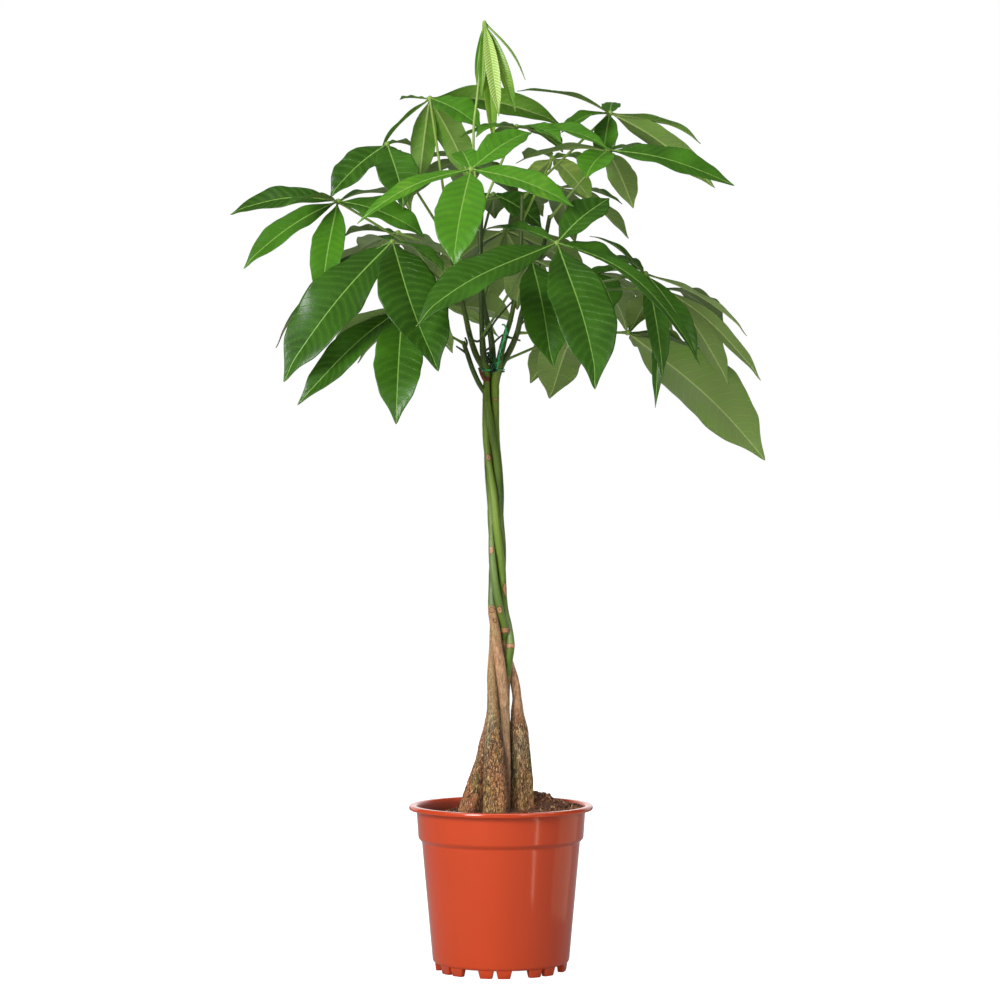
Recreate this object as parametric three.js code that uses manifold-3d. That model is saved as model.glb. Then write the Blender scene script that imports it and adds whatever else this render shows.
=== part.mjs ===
// Potted money tree: five plaited stems with swollen feet, standing in a nursery pot of potting mix,
// with palmate leaves on long stalks. Millimetres, +Z up. The origin is on the ground under the
// middle of the pot, and the front of the plant faces -Y.

import * as THREE from "three";
import { mergeVertices } from "three/addons/utils/BufferGeometryUtils.js";
import Module from "manifold-3d";

const wasm = await Module();
wasm.setup();

// Driving dimensions of the pot. The band is the wider stretch under the lip.
const LIP_RADIUS = 95;
const LIP_INNER_RADIUS = 88;
const LIP_TOP = 170;
const BAND_TOP = 162;
const BAND_BOTTOM = 136;
const BAND_RADIUS = 86.9;
const STEP_RADIUS = 85.1;
const BODY_TOP_RADIUS = 81.5;
const BODY_BOTTOM_RADIUS = 70.5;
const UNDERSIDE = 8;
const WALL = 2;
const POT_SIDES = 32;

// Feet in pairs round the underside, each a tooth between two radii that narrows downwards.
// Spread is half the angle between the middles of a pair, in degrees.
const FOOT_PAIRS = 8;
const FOOT_TURN = -5.3;
const FOOT_SPREAD = 8;
const FOOT_HALF_ANGLE = 5.4;
const FOOT_INNER_RADIUS = 61;
const FOOT_OUTER_RADIUS = 67.4;
const DRAIN_RADIUS = 5;
const DRAIN_RING = 48;

// Driving dimensions of the soil, the stems and the plait
const GAP = 0.3;
const SOIL_LEVEL = 162;
const SOIL_HEAP = { x: 37, y: 25, height: 15, spread: 15 };
const SOIL_RADIUS = 84.2;
const PLAIT_HALF_WIDTH = 4.8;
const PLAIT_HALF_DEPTH = 8.6;
const PLAIT_STEM_RADIUS = 4;
const STEM_SIDES = 8;
const STEM_FOOT = 112;

// Driving dimensions of the leaves. A leaflet at least as wide as WIDE_LEAFLET has more steps
// along it, and one at least as wide as FOLDED_LEAFLET is folded along its midrib.
const STALK_RADIUS = 1.5;
const STALK_SIDES = 5;
const HUB_RADIUS = 4.2;
const BLADE_THICKNESS = 0.8;
const BLADE_FOLD = 0.2;
const BLADE_START = 1.6;
const BLADE_HALF_LEAST = 1.1;
const WIDE_LEAFLET = 45;
const FOLDED_LEAFLET = 35;

// Driving dimensions of the wire tie: its ring is an ellipse round the stems
const WIRE_RADIUS = 0.9;
const TIE_MIDDLE = { x: -10.5, y: -0.5, z: 617 };
const TIE_HALF_WIDTH = 12.6;
const TIE_HALF_DEPTH = 15.4;
const TIE_RISE = 1.2;
const TIE_STEPS = 12;
const RING_SIDES = 5;

const COLOURS = {
  pot: { color: 0xc84e30, roughness: 0.32, metalness: 0 },
  soil: { color: 0x4a2c1c, roughness: 0.95, metalness: 0 },
  stem: { color: 0x6d7a3c, roughness: 0.6, metalness: 0 },
  leaf: { color: 0x3a7a22, roughness: 0.38, metalness: 0 },
  tie: { color: 0x0f4a35, roughness: 0.3, metalness: 0 },
};

const group = new THREE.Group();

function add(name, geometry, finish) {
  const mesh = new THREE.Mesh(geometry, new THREE.MeshStandardMaterial(COLOURS[finish]));
  mesh.name = name;
  group.add(mesh);
}

// A closed three.js geometry as a solid that can be joined and cut, and back again
function solid(geometry) {
  const plain = geometry.clone();
  plain.deleteAttribute("normal");
  plain.deleteAttribute("uv");
  const merged = mergeVertices(plain, 1e-4);
  return new wasm.Manifold(
    new wasm.Mesh({
      numProp: 3,
      vertProperties: new Float32Array(merged.attributes.position.array),
      triVerts: new Uint32Array(merged.index.array),
    }),
  );
}

function geometryOf(body) {
  const mesh = body.getMesh();
  const geometry = new THREE.BufferGeometry();
  geometry.setAttribute("position", new THREE.BufferAttribute(mesh.vertProperties, 3));
  geometry.setIndex(new THREE.BufferAttribute(mesh.triVerts, 1));
  geometry.computeVertexNormals();
  return geometry;
}

function largest(body) {
  const bodies = body.decompose();
  return bodies.reduce((a, b) => (b.volume() > a.volume() ? b : a));
}

// A skin over rings of points, all with the same count, closed at both ends
function loft(rings) {
  const count = rings[0].length;
  const points = rings.flat();
  const faces = [];
  for (let i = 0; i + 1 < rings.length; i++) {
    for (let j = 0; j < count; j++) {
      const a = i * count + j;
      const b = i * count + ((j + 1) % count);
      faces.push(a, b, b + count);
      faces.push(a, b + count, a + count);
    }
  }
  const last = (rings.length - 1) * count;
  for (let j = 1; j + 1 < count; j++) {
    faces.push(0, j + 1, j);
    faces.push(last, last + j, last + j + 1);
  }
  const geometry = new THREE.BufferGeometry().setFromPoints(points);
  geometry.setIndex(faces);
  return geometry;
}

// A round rod along points, with a radius at each of them
function rod(points, radii, sides) {
  const rings = [];
  let across = new THREE.Vector3(1, 0, 0);
  points.forEach((point, i) => {
    const before = points[Math.max(i - 1, 0)];
    const after = points[Math.min(i + 1, points.length - 1)];
    const along = after.clone().sub(before).normalize();
    if (i === 0 && Math.abs(along.x) > 0.9) across.set(0, 0, 1);
    across = across.clone().addScaledVector(along, -across.dot(along)).normalize();
    const other = along.clone().cross(across);
    const ring = [];
    for (let j = 0; j < sides; j++) {
      const angle = (2 * Math.PI * j) / sides;
      const spot = point.clone();
      spot.addScaledVector(across, radii[i] * Math.cos(angle));
      spot.addScaledVector(other, radii[i] * Math.sin(angle));
      ring.push(spot);
    }
    rings.push(ring);
  });
  return solid(loft(rings));
}

// The pot: one turned wall with its floor, on feet in pairs, with drain holes
function pot() {
  const outline = [
    [0, UNDERSIDE],
    [BODY_BOTTOM_RADIUS - 3.5, UNDERSIDE],
    [BODY_BOTTOM_RADIUS, UNDERSIDE + 3.5],
    [BODY_TOP_RADIUS, BAND_BOTTOM - 4],
    [STEP_RADIUS, BAND_BOTTOM],
    [BAND_RADIUS, BAND_TOP],
    [BAND_RADIUS + 0.6, LIP_TOP - 5],
    [LIP_RADIUS - 0.8, LIP_TOP - 4.6],
    [LIP_RADIUS, LIP_TOP - 3.6],
    [LIP_RADIUS - 0.6, LIP_TOP - 0.3],
    [LIP_INNER_RADIUS + 0.8, LIP_TOP],
    [BAND_RADIUS - WALL + 0.3, BAND_TOP],
    [STEP_RADIUS - WALL, BAND_BOTTOM],
    [BODY_TOP_RADIUS - WALL, BAND_BOTTOM - 5],
    [BODY_BOTTOM_RADIUS - WALL, UNDERSIDE + 4],
    [BODY_BOTTOM_RADIUS - WALL - 2, UNDERSIDE + WALL],
    [0, UNDERSIDE + WALL],
  ].map(([r, z]) => new THREE.Vector2(r, z));
  let body = solid(new THREE.LatheGeometry(outline, POT_SIDES).rotateX(Math.PI / 2));
  for (let pair = 0; pair < FOOT_PAIRS; pair++) {
    for (const side of [-FOOT_SPREAD, FOOT_SPREAD]) {
      body = body.add(foot(-90 + FOOT_TURN + (pair * 360) / FOOT_PAIRS + side));
    }
  }
  for (let i = 0; i < FOOT_PAIRS; i++) {
    const angle = (i / FOOT_PAIRS) * 2 * Math.PI;
    const drain = new THREE.CylinderGeometry(DRAIN_RADIUS, DRAIN_RADIUS, 4 * WALL, 8);
    drain.rotateX(Math.PI / 2);
    drain.translate(DRAIN_RING * Math.cos(angle), DRAIN_RING * Math.sin(angle), UNDERSIDE + WALL / 2);
    body = body.subtract(solid(drain));
  }
  return body;
}

// One foot: a tooth that narrows downwards, sunk into the pot's underside
function foot(degrees) {
  const corners = (z, half, inner, outer) =>
    [
      [inner, -half],
      [outer, -half],
      [outer, half],
      [inner, half],
    ].map(([r, turn]) => {
      const angle = THREE.MathUtils.degToRad(degrees + turn);
      return new THREE.Vector3(r * Math.cos(angle), r * Math.sin(angle), z);
    });
  const rings = [
    corners(0, FOOT_HALF_ANGLE, FOOT_INNER_RADIUS, FOOT_OUTER_RADIUS),
    corners(UNDERSIDE + 0.6, FOOT_HALF_ANGLE + 1.5, FOOT_INNER_RADIUS - 0.5, FOOT_OUTER_RADIUS + 1.2),
  ];
  return solid(loft(rings));
}

// Height of the potting mix: low on the left and in front, heaped behind the right foot
function soilHeight(x, y) {
  const away = Math.hypot(x - SOIL_HEAP.x, y - SOIL_HEAP.y) / SOIL_HEAP.spread;
  const heap = SOIL_HEAP.height * Math.exp((-away * away) / 2);
  const lean = 0.045 * x + 0.03 * y;
  const lumps = 1.3 * Math.sin(x * 0.21 + 1) * Math.cos(y * 0.17) + 0.9 * Math.sin(y * 0.33 + x * 0.11);
  return SOIL_LEVEL + heap + lean + lumps;
}

function soil() {
  const circle = (radius, height) => {
    const ring = [];
    for (let j = 0; j < POT_SIDES; j++) {
      const angle = (2 * Math.PI * j) / POT_SIDES;
      const x = radius * Math.cos(angle);
      const y = radius * Math.sin(angle);
      ring.push(new THREE.Vector3(x, y, height ?? soilHeight(x, y)));
    }
    return ring;
  };
  return solid(
    loft([
      circle(BODY_BOTTOM_RADIUS - WALL - 3, UNDERSIDE + WALL + GAP),
      circle(BODY_BOTTOM_RADIUS - WALL - 1, UNDERSIDE + 5),
      circle(BODY_TOP_RADIUS - WALL - 0.5, BAND_BOTTOM - 5),
      circle(STEP_RADIUS - WALL - 0.5, BAND_BOTTOM + 1.2),
      circle(SOIL_RADIUS),
      circle(60),
      circle(36),
      circle(14),
    ]),
  );
}

// Where the middle of the plait lies at a height, and how far round the plait has turned there
const PLAIT_MIDDLE = [
  [384, -3.4],
  [418, -4],
  [490, -6],
  [541, -9],
  [592, -11],
  [613, -9.5],
];
const PLAIT_TURNS = [
  [384, 0.4],
  [467, 0.2],
  [556, 0],
  [640, -0.2],
];

function between(table, z) {
  let i = 0;
  while (i + 2 < table.length && z > table[i + 1][0]) i++;
  const [z0, v0] = table[i];
  const [z1, v1] = table[i + 1];
  return v0 + ((v1 - v0) * (z - z0)) / (z1 - z0);
}

// A point of one of the five plaited strands: they chase each other round an ellipse
function plait(strand, z) {
  const turn = between(PLAIT_TURNS, z) - strand / 5;
  const angle = 2 * Math.PI * turn + 0.14 * Math.sin(4 * Math.PI * turn);
  const x = between(PLAIT_MIDDLE, z) + PLAIT_HALF_WIDTH * Math.sin(angle);
  return [z, x, -PLAIT_HALF_DEPTH * Math.cos(angle)];
}

// The stems. Foot and shoot are lists of height, x, y and radius, from the bottom up; the plait
// joins them. Flutes is how many soft ridges the swollen foot has.
const STEMS = [
  {
    name: "stem_1",
    flutes: 4,
    foot: [
      [STEM_FOOT, -34, 5, 9],
      [140, -33, 5, 12.5],
      [164, -30, 5, 13],
      [179, -27, 5, 11.5],
      [200, -21.5, 5.5, 10],
      [222, -16.5, 6.5, 8.3],
      [236, -14, 7, 7.6],
      [258, -9.8, 8, 6.3],
      [285, -7.5, 9.5, 5.6],
      [312, -4.5, 10, 5.2],
      [340, -1.5, 10.5, 4.8],
      [365, -1, 9.5, 4.4],
    ],
    shoot: [
      [638, -18.5, -8, 3.4],
      [654, -19.3, -9, 2.8],
      [671, -20, -10, 2.5],
      [690, -20.3, -10, 2.4],
      [747, -21.5, -9, 2.2],
      [790, -20, -8, 2],
    ],
  },
  {
    name: "stem_2",
    flutes: 5,
    foot: [
      [STEM_FOOT, 0, 24, 9],
      [140, 0, 23, 12.5],
      [164, 0, 21, 13.5],
      [200, 1, 18, 11.5],
      [240, 2, 14, 8.5],
      [270, 3, 10, 6],
      [288, 4, 5, 5.2],
      [303, 5.8, 0.5, 4.6],
      [319, 8.2, -3.5, 4.2],
      [334, 10, -4, 4.1],
      [352, 8, 0.5, 4],
      [370, 4, 3, 4],
    ],
    shoot: [
      [636, -26.5, 3, 3.4],
      [651, -31.5, 1, 3],
      [671, -36, -2, 2.7],
      [705, -44, -11, 2.5],
      [740, -51, -16, 2.3],
      [773, -56, -20, 2.1],
    ],
  },
  {
    name: "stem_3",
    flutes: 5,
    foot: [
      [STEM_FOOT, 24, 3, 9],
      [140, 23.5, 3, 12],
      [164, 22.6, 3, 12],
      [179, 22.4, 3, 11.3],
      [200, 21.8, 2.5, 10.8],
      [222, 20.2, 2, 10.3],
      [236, 19.4, 2, 9.8],
      [250, 18.4, 2.5, 8.7],
      [264, 17, 3, 6.9],
      [278, 16.6, 4, 5.1],
      [294, 14.6, 5.5, 4.9],
      [305, 12, 6.5, 4.8],
      [319, 7.5, 6, 4.5],
      [334, 4, 3, 4.2],
      [348, 4.6, -3, 4.1],
      [369, -0.5, -7.8, 4],
    ],
    shoot: [
      [650, -10, 18, 3.2],
      [690, -18.5, 29, 2.7],
      [720, -21, 36, 2.5],
      [760, -21, 43, 2.3],
      [798, -20, 50, 2.1],
    ],
  },
  {
    name: "stem_4",
    flutes: 3,
    foot: [
      [STEM_FOOT, 5, -14, 6],
      [140, 5, -14, 8],
      [164, 5, -13, 8],
      [200, 4.6, -11, 7],
      [222, 4.6, -9, 5.8],
      [236, 4.4, -8.5, 5],
      [258, 4.4, -8.5, 4.8],
      [280, 3, -9, 5],
      [303, 0.5, -9.5, 5.4],
      [319, -1.4, -9.5, 5.5],
      [333, -3.9, -9, 5.2],
      [348, -5.5, -8, 5.1],
      [370, -8.6, -5, 4.8],
    ],
    shoot: [
      [622, 0, -1.5, 3.9],
      [638, 9, -3, 3.6],
      [654, 16, -6, 3.1],
      [680, 22.5, -9, 2.7],
      [710, 34, -15, 2.5],
      [745, 44, -22, 2.3],
      [775, 50, -30, 2.1],
    ],
  },
  {
    name: "stem_5",
    flutes: 4,
    foot: [
      [STEM_FOOT, -11, -17, 8],
      [140, -11, -16, 10.5],
      [164, -10.5, -15, 10.5],
      [200, -9.5, -13, 9.8],
      [222, -8.4, -11.5, 9.3],
      [236, -7.4, -10.5, 8.6],
      [258, -7.2, -8.5, 7],
      [280, -7.8, -6, 6.3],
      [303, -8.5, -3.5, 5.8],
      [319, -8, -1.8, 5.4],
      [333, -7.3, 0, 5],
      [348, -7.3, 2, 4.6],
      [370, -6.5, 4.5, 4.3],
    ],
    shoot: [
      [621, -3, -9, 3.9],
      [651, 4, -10, 3.2],
      [665, 8.5, -8, 2.8],
      [690, 14, -1, 2.5],
      [720, 18, 3, 2.4],
      [760, 21, 7, 2.2],
      [800, 22, 10, 2],
    ],
  },
];

// The side shoot that leaves the first stem under the tie
const SIDE_SHOOT = [
  [590, -13.5, -3, 2.6],
  [603, -22, -7, 2.7],
  [618, -29, -9, 2.6],
  [634, -34.5, -10, 2.5],
  [647, -39, -12, 2.2],
];
const PLAIT_HEIGHTS = [395, 422, 449, 476, 503, 530, 557, 584, 608];

function stemPoints(stem, index) {
  const rows = [...stem.foot];
  for (const z of PLAIT_HEIGHTS) rows.push([...plait(index, z), PLAIT_STEM_RADIUS]);
  rows.push(...stem.shoot);
  return rows;
}

// A stem as a rod with level rings, its foot fluted more and more towards the soil
function stemSolid(stem, index, extra) {
  const rings = stemPoints(stem, index).map(([z, x, y, radius]) => {
    const fluting = 0.09 * THREE.MathUtils.clamp((260 - z) / 80, 0, 1);
    const ring = [];
    for (let j = 0; j < STEM_SIDES; j++) {
      const angle = (2 * Math.PI * j) / STEM_SIDES;
      const size = radius * (1 + fluting * Math.cos(stem.flutes * angle + index)) + extra;
      ring.push(new THREE.Vector3(x + size * Math.cos(angle), y + size * Math.sin(angle), z));
    }
    return ring;
  });
  if (extra > 0) {
    rings[0].forEach((spot) => (spot.z -= extra));
    rings[rings.length - 1].forEach((spot) => (spot.z += extra));
  }
  let body = solid(loft(rings));
  if (index === 0) {
    const spots = SIDE_SHOOT.map(([z, x, y]) => new THREE.Vector3(x, y, z));
    body = body.add(rod(spots, SIDE_SHOOT.map((row) => row[3] + extra), 8));
  }
  return body;
}

// The stems press into each other, so each one is cut clear of those before it
const roomForStems = STEMS.map((stem, index) => stemSolid(stem, index, GAP));
const stemBodies = [];
STEMS.forEach((stem, index) => {
  let body = stemSolid(stem, index, 0);
  for (let other = 0; other < index; other++) body = body.subtract(roomForStems[other]);
  stemBodies.push(largest(body));
});

// The wire tie: a ring round the stems, a loop in front, and a tail that ends in a hook
function wireTie() {
  const spots = [];
  const faces = [];
  for (let i = 0; i < TIE_STEPS; i++) {
    const angle = (2 * Math.PI * i) / TIE_STEPS;
    const aside = new THREE.Vector3(TIE_HALF_WIDTH * Math.cos(angle), TIE_HALF_DEPTH * Math.sin(angle), 0);
    const out = aside.clone().normalize();
    const middle = aside.clone().add(TIE_MIDDLE);
    middle.z += TIE_RISE * Math.sin(angle);
    const here = i * RING_SIDES;
    const next = ((i + 1) % TIE_STEPS) * RING_SIDES;
    for (let j = 0; j < RING_SIDES; j++) {
      const turn = (2 * Math.PI * j) / RING_SIDES;
      const spot = middle.clone().addScaledVector(out, WIRE_RADIUS * Math.cos(turn));
      spot.z += WIRE_RADIUS * Math.sin(turn);
      spots.push(spot);
      const k = (j + 1) % RING_SIDES;
      faces.push(here + j, next + k, here + k);
      faces.push(here + j, next + j, next + k);
    }
  }
  const geometry = new THREE.BufferGeometry().setFromPoints(spots);
  geometry.setIndex(faces);
  const loop = [
    [-8, -15.6, 615],
    [-9.5, -17, 621],
    [-13, -17.5, 628],
    [-12, -17.5, 634],
    [-8, -17.3, 633],
    [-6.5, -17, 626],
    [-4.5, -15.6, 616],
  ];
  const tail = [
    [-5, -15.3, 616],
    [-2.5, -17, 626],
    [-0.5, -17.5, 637],
    [3, -17.5, 648],
    [5.5, -17.3, 658],
    [3.5, -17, 663.5],
    [0.8, -17, 664],
  ];
  let body = solid(geometry);
  for (const list of [loop, tail]) {
    const path = new THREE.CatmullRomCurve3(list.map((p) => new THREE.Vector3(...p))).getPoints(6);
    body = body.add(rod(path, path.map(() => WIRE_RADIUS), 4));
  }
  return body;
}

// The leaves. From is where the stalk leaves the middle of its stem, and hub is where the leaflets
// meet. Each row of leaflets gives the way from the hub to a leaflet's tip, the leaflet's width, how
// far its upper side is turned to the front and, as shares of its length where they aren't the usual
// ones, how high it arches and how far it bends sideways.
const LEAVES = [
  {
    name: "leaf_01",
    from: [-20, -8, 785],
    via: [[-27, -10, 822], [-28, -12, 866], [-24, -12, 902]],
    hub: [-17, -10, 975],
    leaflets: [
      [-8, 8, -64, 6, 0.5],
      [-3, -8, -78, 8, 1.5],
      [15, -16, -99, 14, 2],
      [9, 10, -123, 14, 1],
      [32, -4, -93, 13, 1.5],
      [42, 10, -58, 4, 0],
    ],
  },
  {
    name: "leaf_02",
    from: [-54, -18, 768],
    hub: [-74, 30, 902],
    leaflets: [
      [-33, 32, 4, 16, 0, 0.03],
      [-53, 0, -58, 20, 0],
      [-12, 32, -85, 27, -0.6],
      [42, 40, -82, 33, -0.8],
      [53, -30, -34, 38, 0.8],
      [139, 45, -20, 34, -0.9, 0.1],
      [30, 105, -20, 28, 0],
    ],
  },
  {
    name: "leaf_03",
    from: [-52, -16, 746],
    hub: [-117, -15, 849],
    leaflets: [
      [-57, -32, -56, 36, 1],
      [20, -58, -70, 44, 0.5],
      [5, 85, -28, 24, 0],
      [20, 90, -60, 28, 0],
      [24, 32, 3, 18, 0],
    ],
  },
  {
    name: "leaf_04",
    from: [-46, -13, 717],
    hub: [-166, -40, 788],
    leaflets: [
      [-111, 12, -10, 30, 1.1, 0.1],
      [-48, -70, -10, 22, 0],
      [-93, -50, -70, 30, 1],
      [-13, -70, -110, 34, 0.3],
      [64, 60, 13, 24, 0],
      [90, -45, -38, 38, 0.8],
    ],
  },
  {
    name: "leaf_05",
    from: [-20.5, -9, 775],
    hub: [-30, -100, 814],
    leaflets: [
      [-112, -35, -56, 20, 0.9, 0.1],
      [-10, 30, 22, 29, 1],
      [-17, -70, -101, 50, 0.35],
      [101, -45, -40, 32, 1.1],
      [60, 30, 42, 34, 1],
      [15, 75, 5, 26, 0],
    ],
  },
  {
    name: "leaf_06",
    from: [-20.2, -8, 782],
    hub: [16, 0, 869],
    leaflets: [
      [-60, 25, -8, 18, 0],
      [-42, -65, -17, 20, 0],
      [94, -50, -28, 30, 0.5],
      [46, -60, -22, 26, 0.3],
      [50, 85, -15, 26, 0],
      [-25, 95, -20, 26, 0],
    ],
  },
  {
    name: "leaf_07",
    from: [22, 10, 796],
    hub: [114, 40, 888],
    leaflets: [
      [-97, -45, 19, 20, 0.2],
      [4, 60, 20, 20, 0.3],
      [-52, -60, -26, 24, 0.3],
      [-9, -30, -58, 26, 0.3],
      [97, 25, -27, 20, -0.1],
      [112, 35, -73, 32, -0.8],
    ],
  },
  {
    name: "leaf_08",
    from: [50, -30, 772],
    hub: [109, -30, 841],
    leaflets: [
      [126, -35, -39, 34, 1],
      [-24, -45, -32, 38, 0.5],
      [28, 45, -54, 29, -0.6],
      [60, 85, 0, 24, 0],
      [-94, -20, -13, 20, -0.2],
    ],
  },
  {
    name: "leaf_09",
    from: [21, 8, 770],
    hub: [54, 50, 842],
    leaflets: [
      [32, 35, -27, 24, -0.6],
      [42, 25, -42, 28, -0.6],
      [-26, 30, -26, 22, -0.5],
      [-30, 80, 10, 24, 0],
      [45, 85, 0, 26, 0],
    ],
  },
  {
    name: "leaf_10",
    from: [38, -19, 727],
    hub: [55, -140, 737],
    leaflets: [
      [54, 40, 49, 36, 1],
      [-139, -76, -82, 46, 1],
      [-73, 60, 20, 28, 0.3],
      [38, -85, -145, 62, 0.3],
      [141, -30, -120, 22, 0.5, 0.14],
      [85, 20, -37, 40, 0.5],
    ],
  },
  {
    name: "leaf_11",
    from: [-19.5, -9, 652],
    hub: [30, -80, 727],
    leaflets: [
      [20, -45, -110, 50, 0.3],
      [-60, 60, -15, 34, -0.4],
      [70, 60, -45, 36, 0],
      [-15, 85, -45, 36, 0],
    ],
  },
  {
    name: "leaf_12",
    from: [-42, -8, 695],
    hub: [-108, -120, 740],
    leaflets: [
      [-107, -45, -138, 58, 1.3],
      [48, -84, -130, 66, 0.2, 0.07, 0.06],
      [75, 30, -22, 34, 0],
      [54, -50, -32, 26, 0],
      [-36, 80, 0, 30, 0],
      [-125, 110, -95, 34, 0.8],
    ],
  },
  {
    name: "leaf_13",
    from: [-38.5, -12, 645],
    hub: [-98, -110, 674],
    leaflets: [
      [-101, -50, -96, 34, 1.2],
      [-4, -75, -115, 48, 0.2],
      [-74, 30, -40, 29, -0.6],
      [50, 50, -40, 34, 0],
      [-20, 80, -20, 26, 0],
    ],
  },
  {
    name: "leaf_14",
    from: [28, -12, 695],
    hub: [147, -45, 714],
    leaflets: [
      [-56, 30, 42, 16, 0],
      [-40, 60, 22, 22, 0],
      [-62, -42, -6, 30, 0.3],
      [15, -55, -106, 24, 0.2],
      [52, -35, -88, 24, 0.5],
      [106, 20, -60, 20, 0],
    ],
  },
  {
    name: "leaf_15",
    from: [16, 1, 700],
    hub: [167, 10, 703],
    leaflets: [
      [104, 10, -93, 22, -0.5],
      [72, 35, -97, 34, -0.4],
      [-8, -20, -124, 13, 0.5],
      [70, 80, -30, 34, 0],
      [-30, 85, -40, 34, 0],
    ],
  },
  {
    name: "leaf_16",
    from: [16, -6, 656],
    hub: [133, 60, 660],
    leaflets: [
      [147, 35, -133, 76, -0.8],
      [70, 70, -40, 50, -0.5],
      [105, 80, -55, 40, -0.3],
      [40, 100, -20, 44, 0],
    ],
  },
  {
    name: "leaf_17",
    from: [4, -2, 628],
    hub: [78, 70, 663],
    leaflets: [
      [-25, 45, -70, 50, -0.5],
      [-46, 70, -52, 40, -0.6],
      [30, 80, -38, 40, 0],
      [-5, 100, -40, 40, 0],
    ],
  },
  {
    name: "leaf_18",
    from: [-13.2, 22, 665],
    hub: [-62, 60, 690],
    leaflets: [
      [75, 30, -15, 44, -0.6],
      [60, -5, -35, 18, -0.6],
      [-60, 70, -40, 40, 0],
      [-20, 95, -10, 42, 0],
      [-90, 20, -60, 40, 0],
    ],
  },
  {
    name: "leaf_19",
    from: [-21.1, 41.6, 752],
    hub: [-8, 70, 806],
    leaflets: [
      [52, 10, -33, 40, 1],
      [-50, 60, -20, 34, 0],
      [0, 95, -15, 36, 0],
      [55, 70, -15, 34, 0],
    ],
  },
  {
    name: "leaf_20",
    from: [-21.1, 37.3, 727],
    hub: [-110, 120, 770],
    leaflets: [
      [-90, 40, -60, 40, 0],
      [-40, 100, -50, 44, 0],
      [40, 85, -50, 42, 0],
      [60, 10, -30, 34, 0],
      [-60, 30, 0, 32, 0],
    ],
  },
  {
    name: "leaf_21",
    from: [-20.8, 35.3, 717],
    hub: [100, 130, 728],
    leaflets: [
      [90, 45, -60, 40, 0],
      [40, 100, -55, 44, 0],
      [-45, 85, -50, 42, 0],
      [20, -40, -40, 34, 0],
      [90, -10, -30, 30, 0],
    ],
  },
  {
    name: "leaf_22",
    from: [-18.5, 29, 690],
    hub: [5, 140, 775],
    leaflets: [
      [-80, 40, -55, 42, -0.5],
      [-25, 60, -88, 44, -0.5],
      [38, 58, -84, 44, -0.5],
      [90, 30, -50, 42, -0.5],
      [-12, 84, -32, 36, 0],
    ],
  },
  {
    name: "leaf_23",
    from: [-20.4, 47.3, 783],
    hub: [-40, 110, 850],
    leaflets: [
      [-60, 50, -40, 34, 0],
      [0, 90, -30, 36, 0],
      [60, 60, -40, 34, 0],
      [-50, -40, -10, 26, 0],
    ],
  },
  {
    name: "leaf_24",
    from: [-20, 49.8, 797],
    hub: [60, 130, 820],
    leaflets: [
      [80, 40, -50, 36, 0],
      [20, 90, -50, 38, 0],
      [-50, 70, -50, 36, 0],
      [70, -30, -20, 28, 0],
    ],
  },
];

// Share of a leaflet's width at a share of its length: a tapered base, an elliptic middle and a
// drawn-out tip
function outline(t) {
  const body = Math.sin(Math.PI * Math.min(t / 0.97, 1) ** 1.08) ** 0.75;
  const taper = Math.sqrt(THREE.MathUtils.smoothstep(t, 0, 0.22));
  return Math.max(body * taper, 0.05);
}

// The frame of a leaflet: along it, across it and up from its upper side
function leafletFrame([dx, dy, dz, , front]) {
  const along = new THREE.Vector3(dx, dy, dz);
  const length = along.length();
  along.normalize();
  const up = new THREE.Vector3(0, -front, 1);
  up.addScaledVector(along, -up.dot(along)).normalize();
  return { along, length, up, across: along.clone().cross(up) };
}

// A point on a leaflet's upper side: t along it, s across it from -1 to 1. The blade arches over
// its length and its halves rise a little from the midrib.
function bladePoint(row, frame, t, s) {
  const [, , , width, , arch = 0.07, bend = 0] = row;
  const half = Math.max((width / 2) * outline(t), BLADE_HALF_LEAST);
  const swell = frame.length * Math.sin(Math.PI * t);
  const point = frame.along.clone().multiplyScalar(frame.length * t);
  point.addScaledVector(frame.across, half * s + bend * swell);
  point.addScaledVector(frame.up, arch * swell + half * BLADE_FOLD * Math.abs(s));
  return point;
}

// Steps along and across a leaflet: a wide one is folded along its midrib, a slim one is flat across
const WIDE_STEPS = [0, 0.16, 0.38, 0.62, 0.85, 1];
const SLIM_STEPS = [0, 0.24, 0.52, 0.82, 1];

function leaflet(row, hub) {
  const width = row[3];
  const frame = leafletFrame(row);
  const first = BLADE_START / frame.length;
  const steps = width < WIDE_LEAFLET ? SLIM_STEPS : WIDE_STEPS;
  const sides = width < FOLDED_LEAFLET ? [-1, 1] : [-1, 0, 1];
  const rings = steps.map((step) => {
    const t = first + (1 - first) * step;
    const upper = sides.map((side) => bladePoint(row, frame, t, side).add(hub));
    const lower = upper.map((point) => point.clone().addScaledVector(frame.up, -BLADE_THICKNESS));
    return [...upper, ...lower];
  });
  return solid(bladeSkin(rings, sides.length));
}

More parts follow.
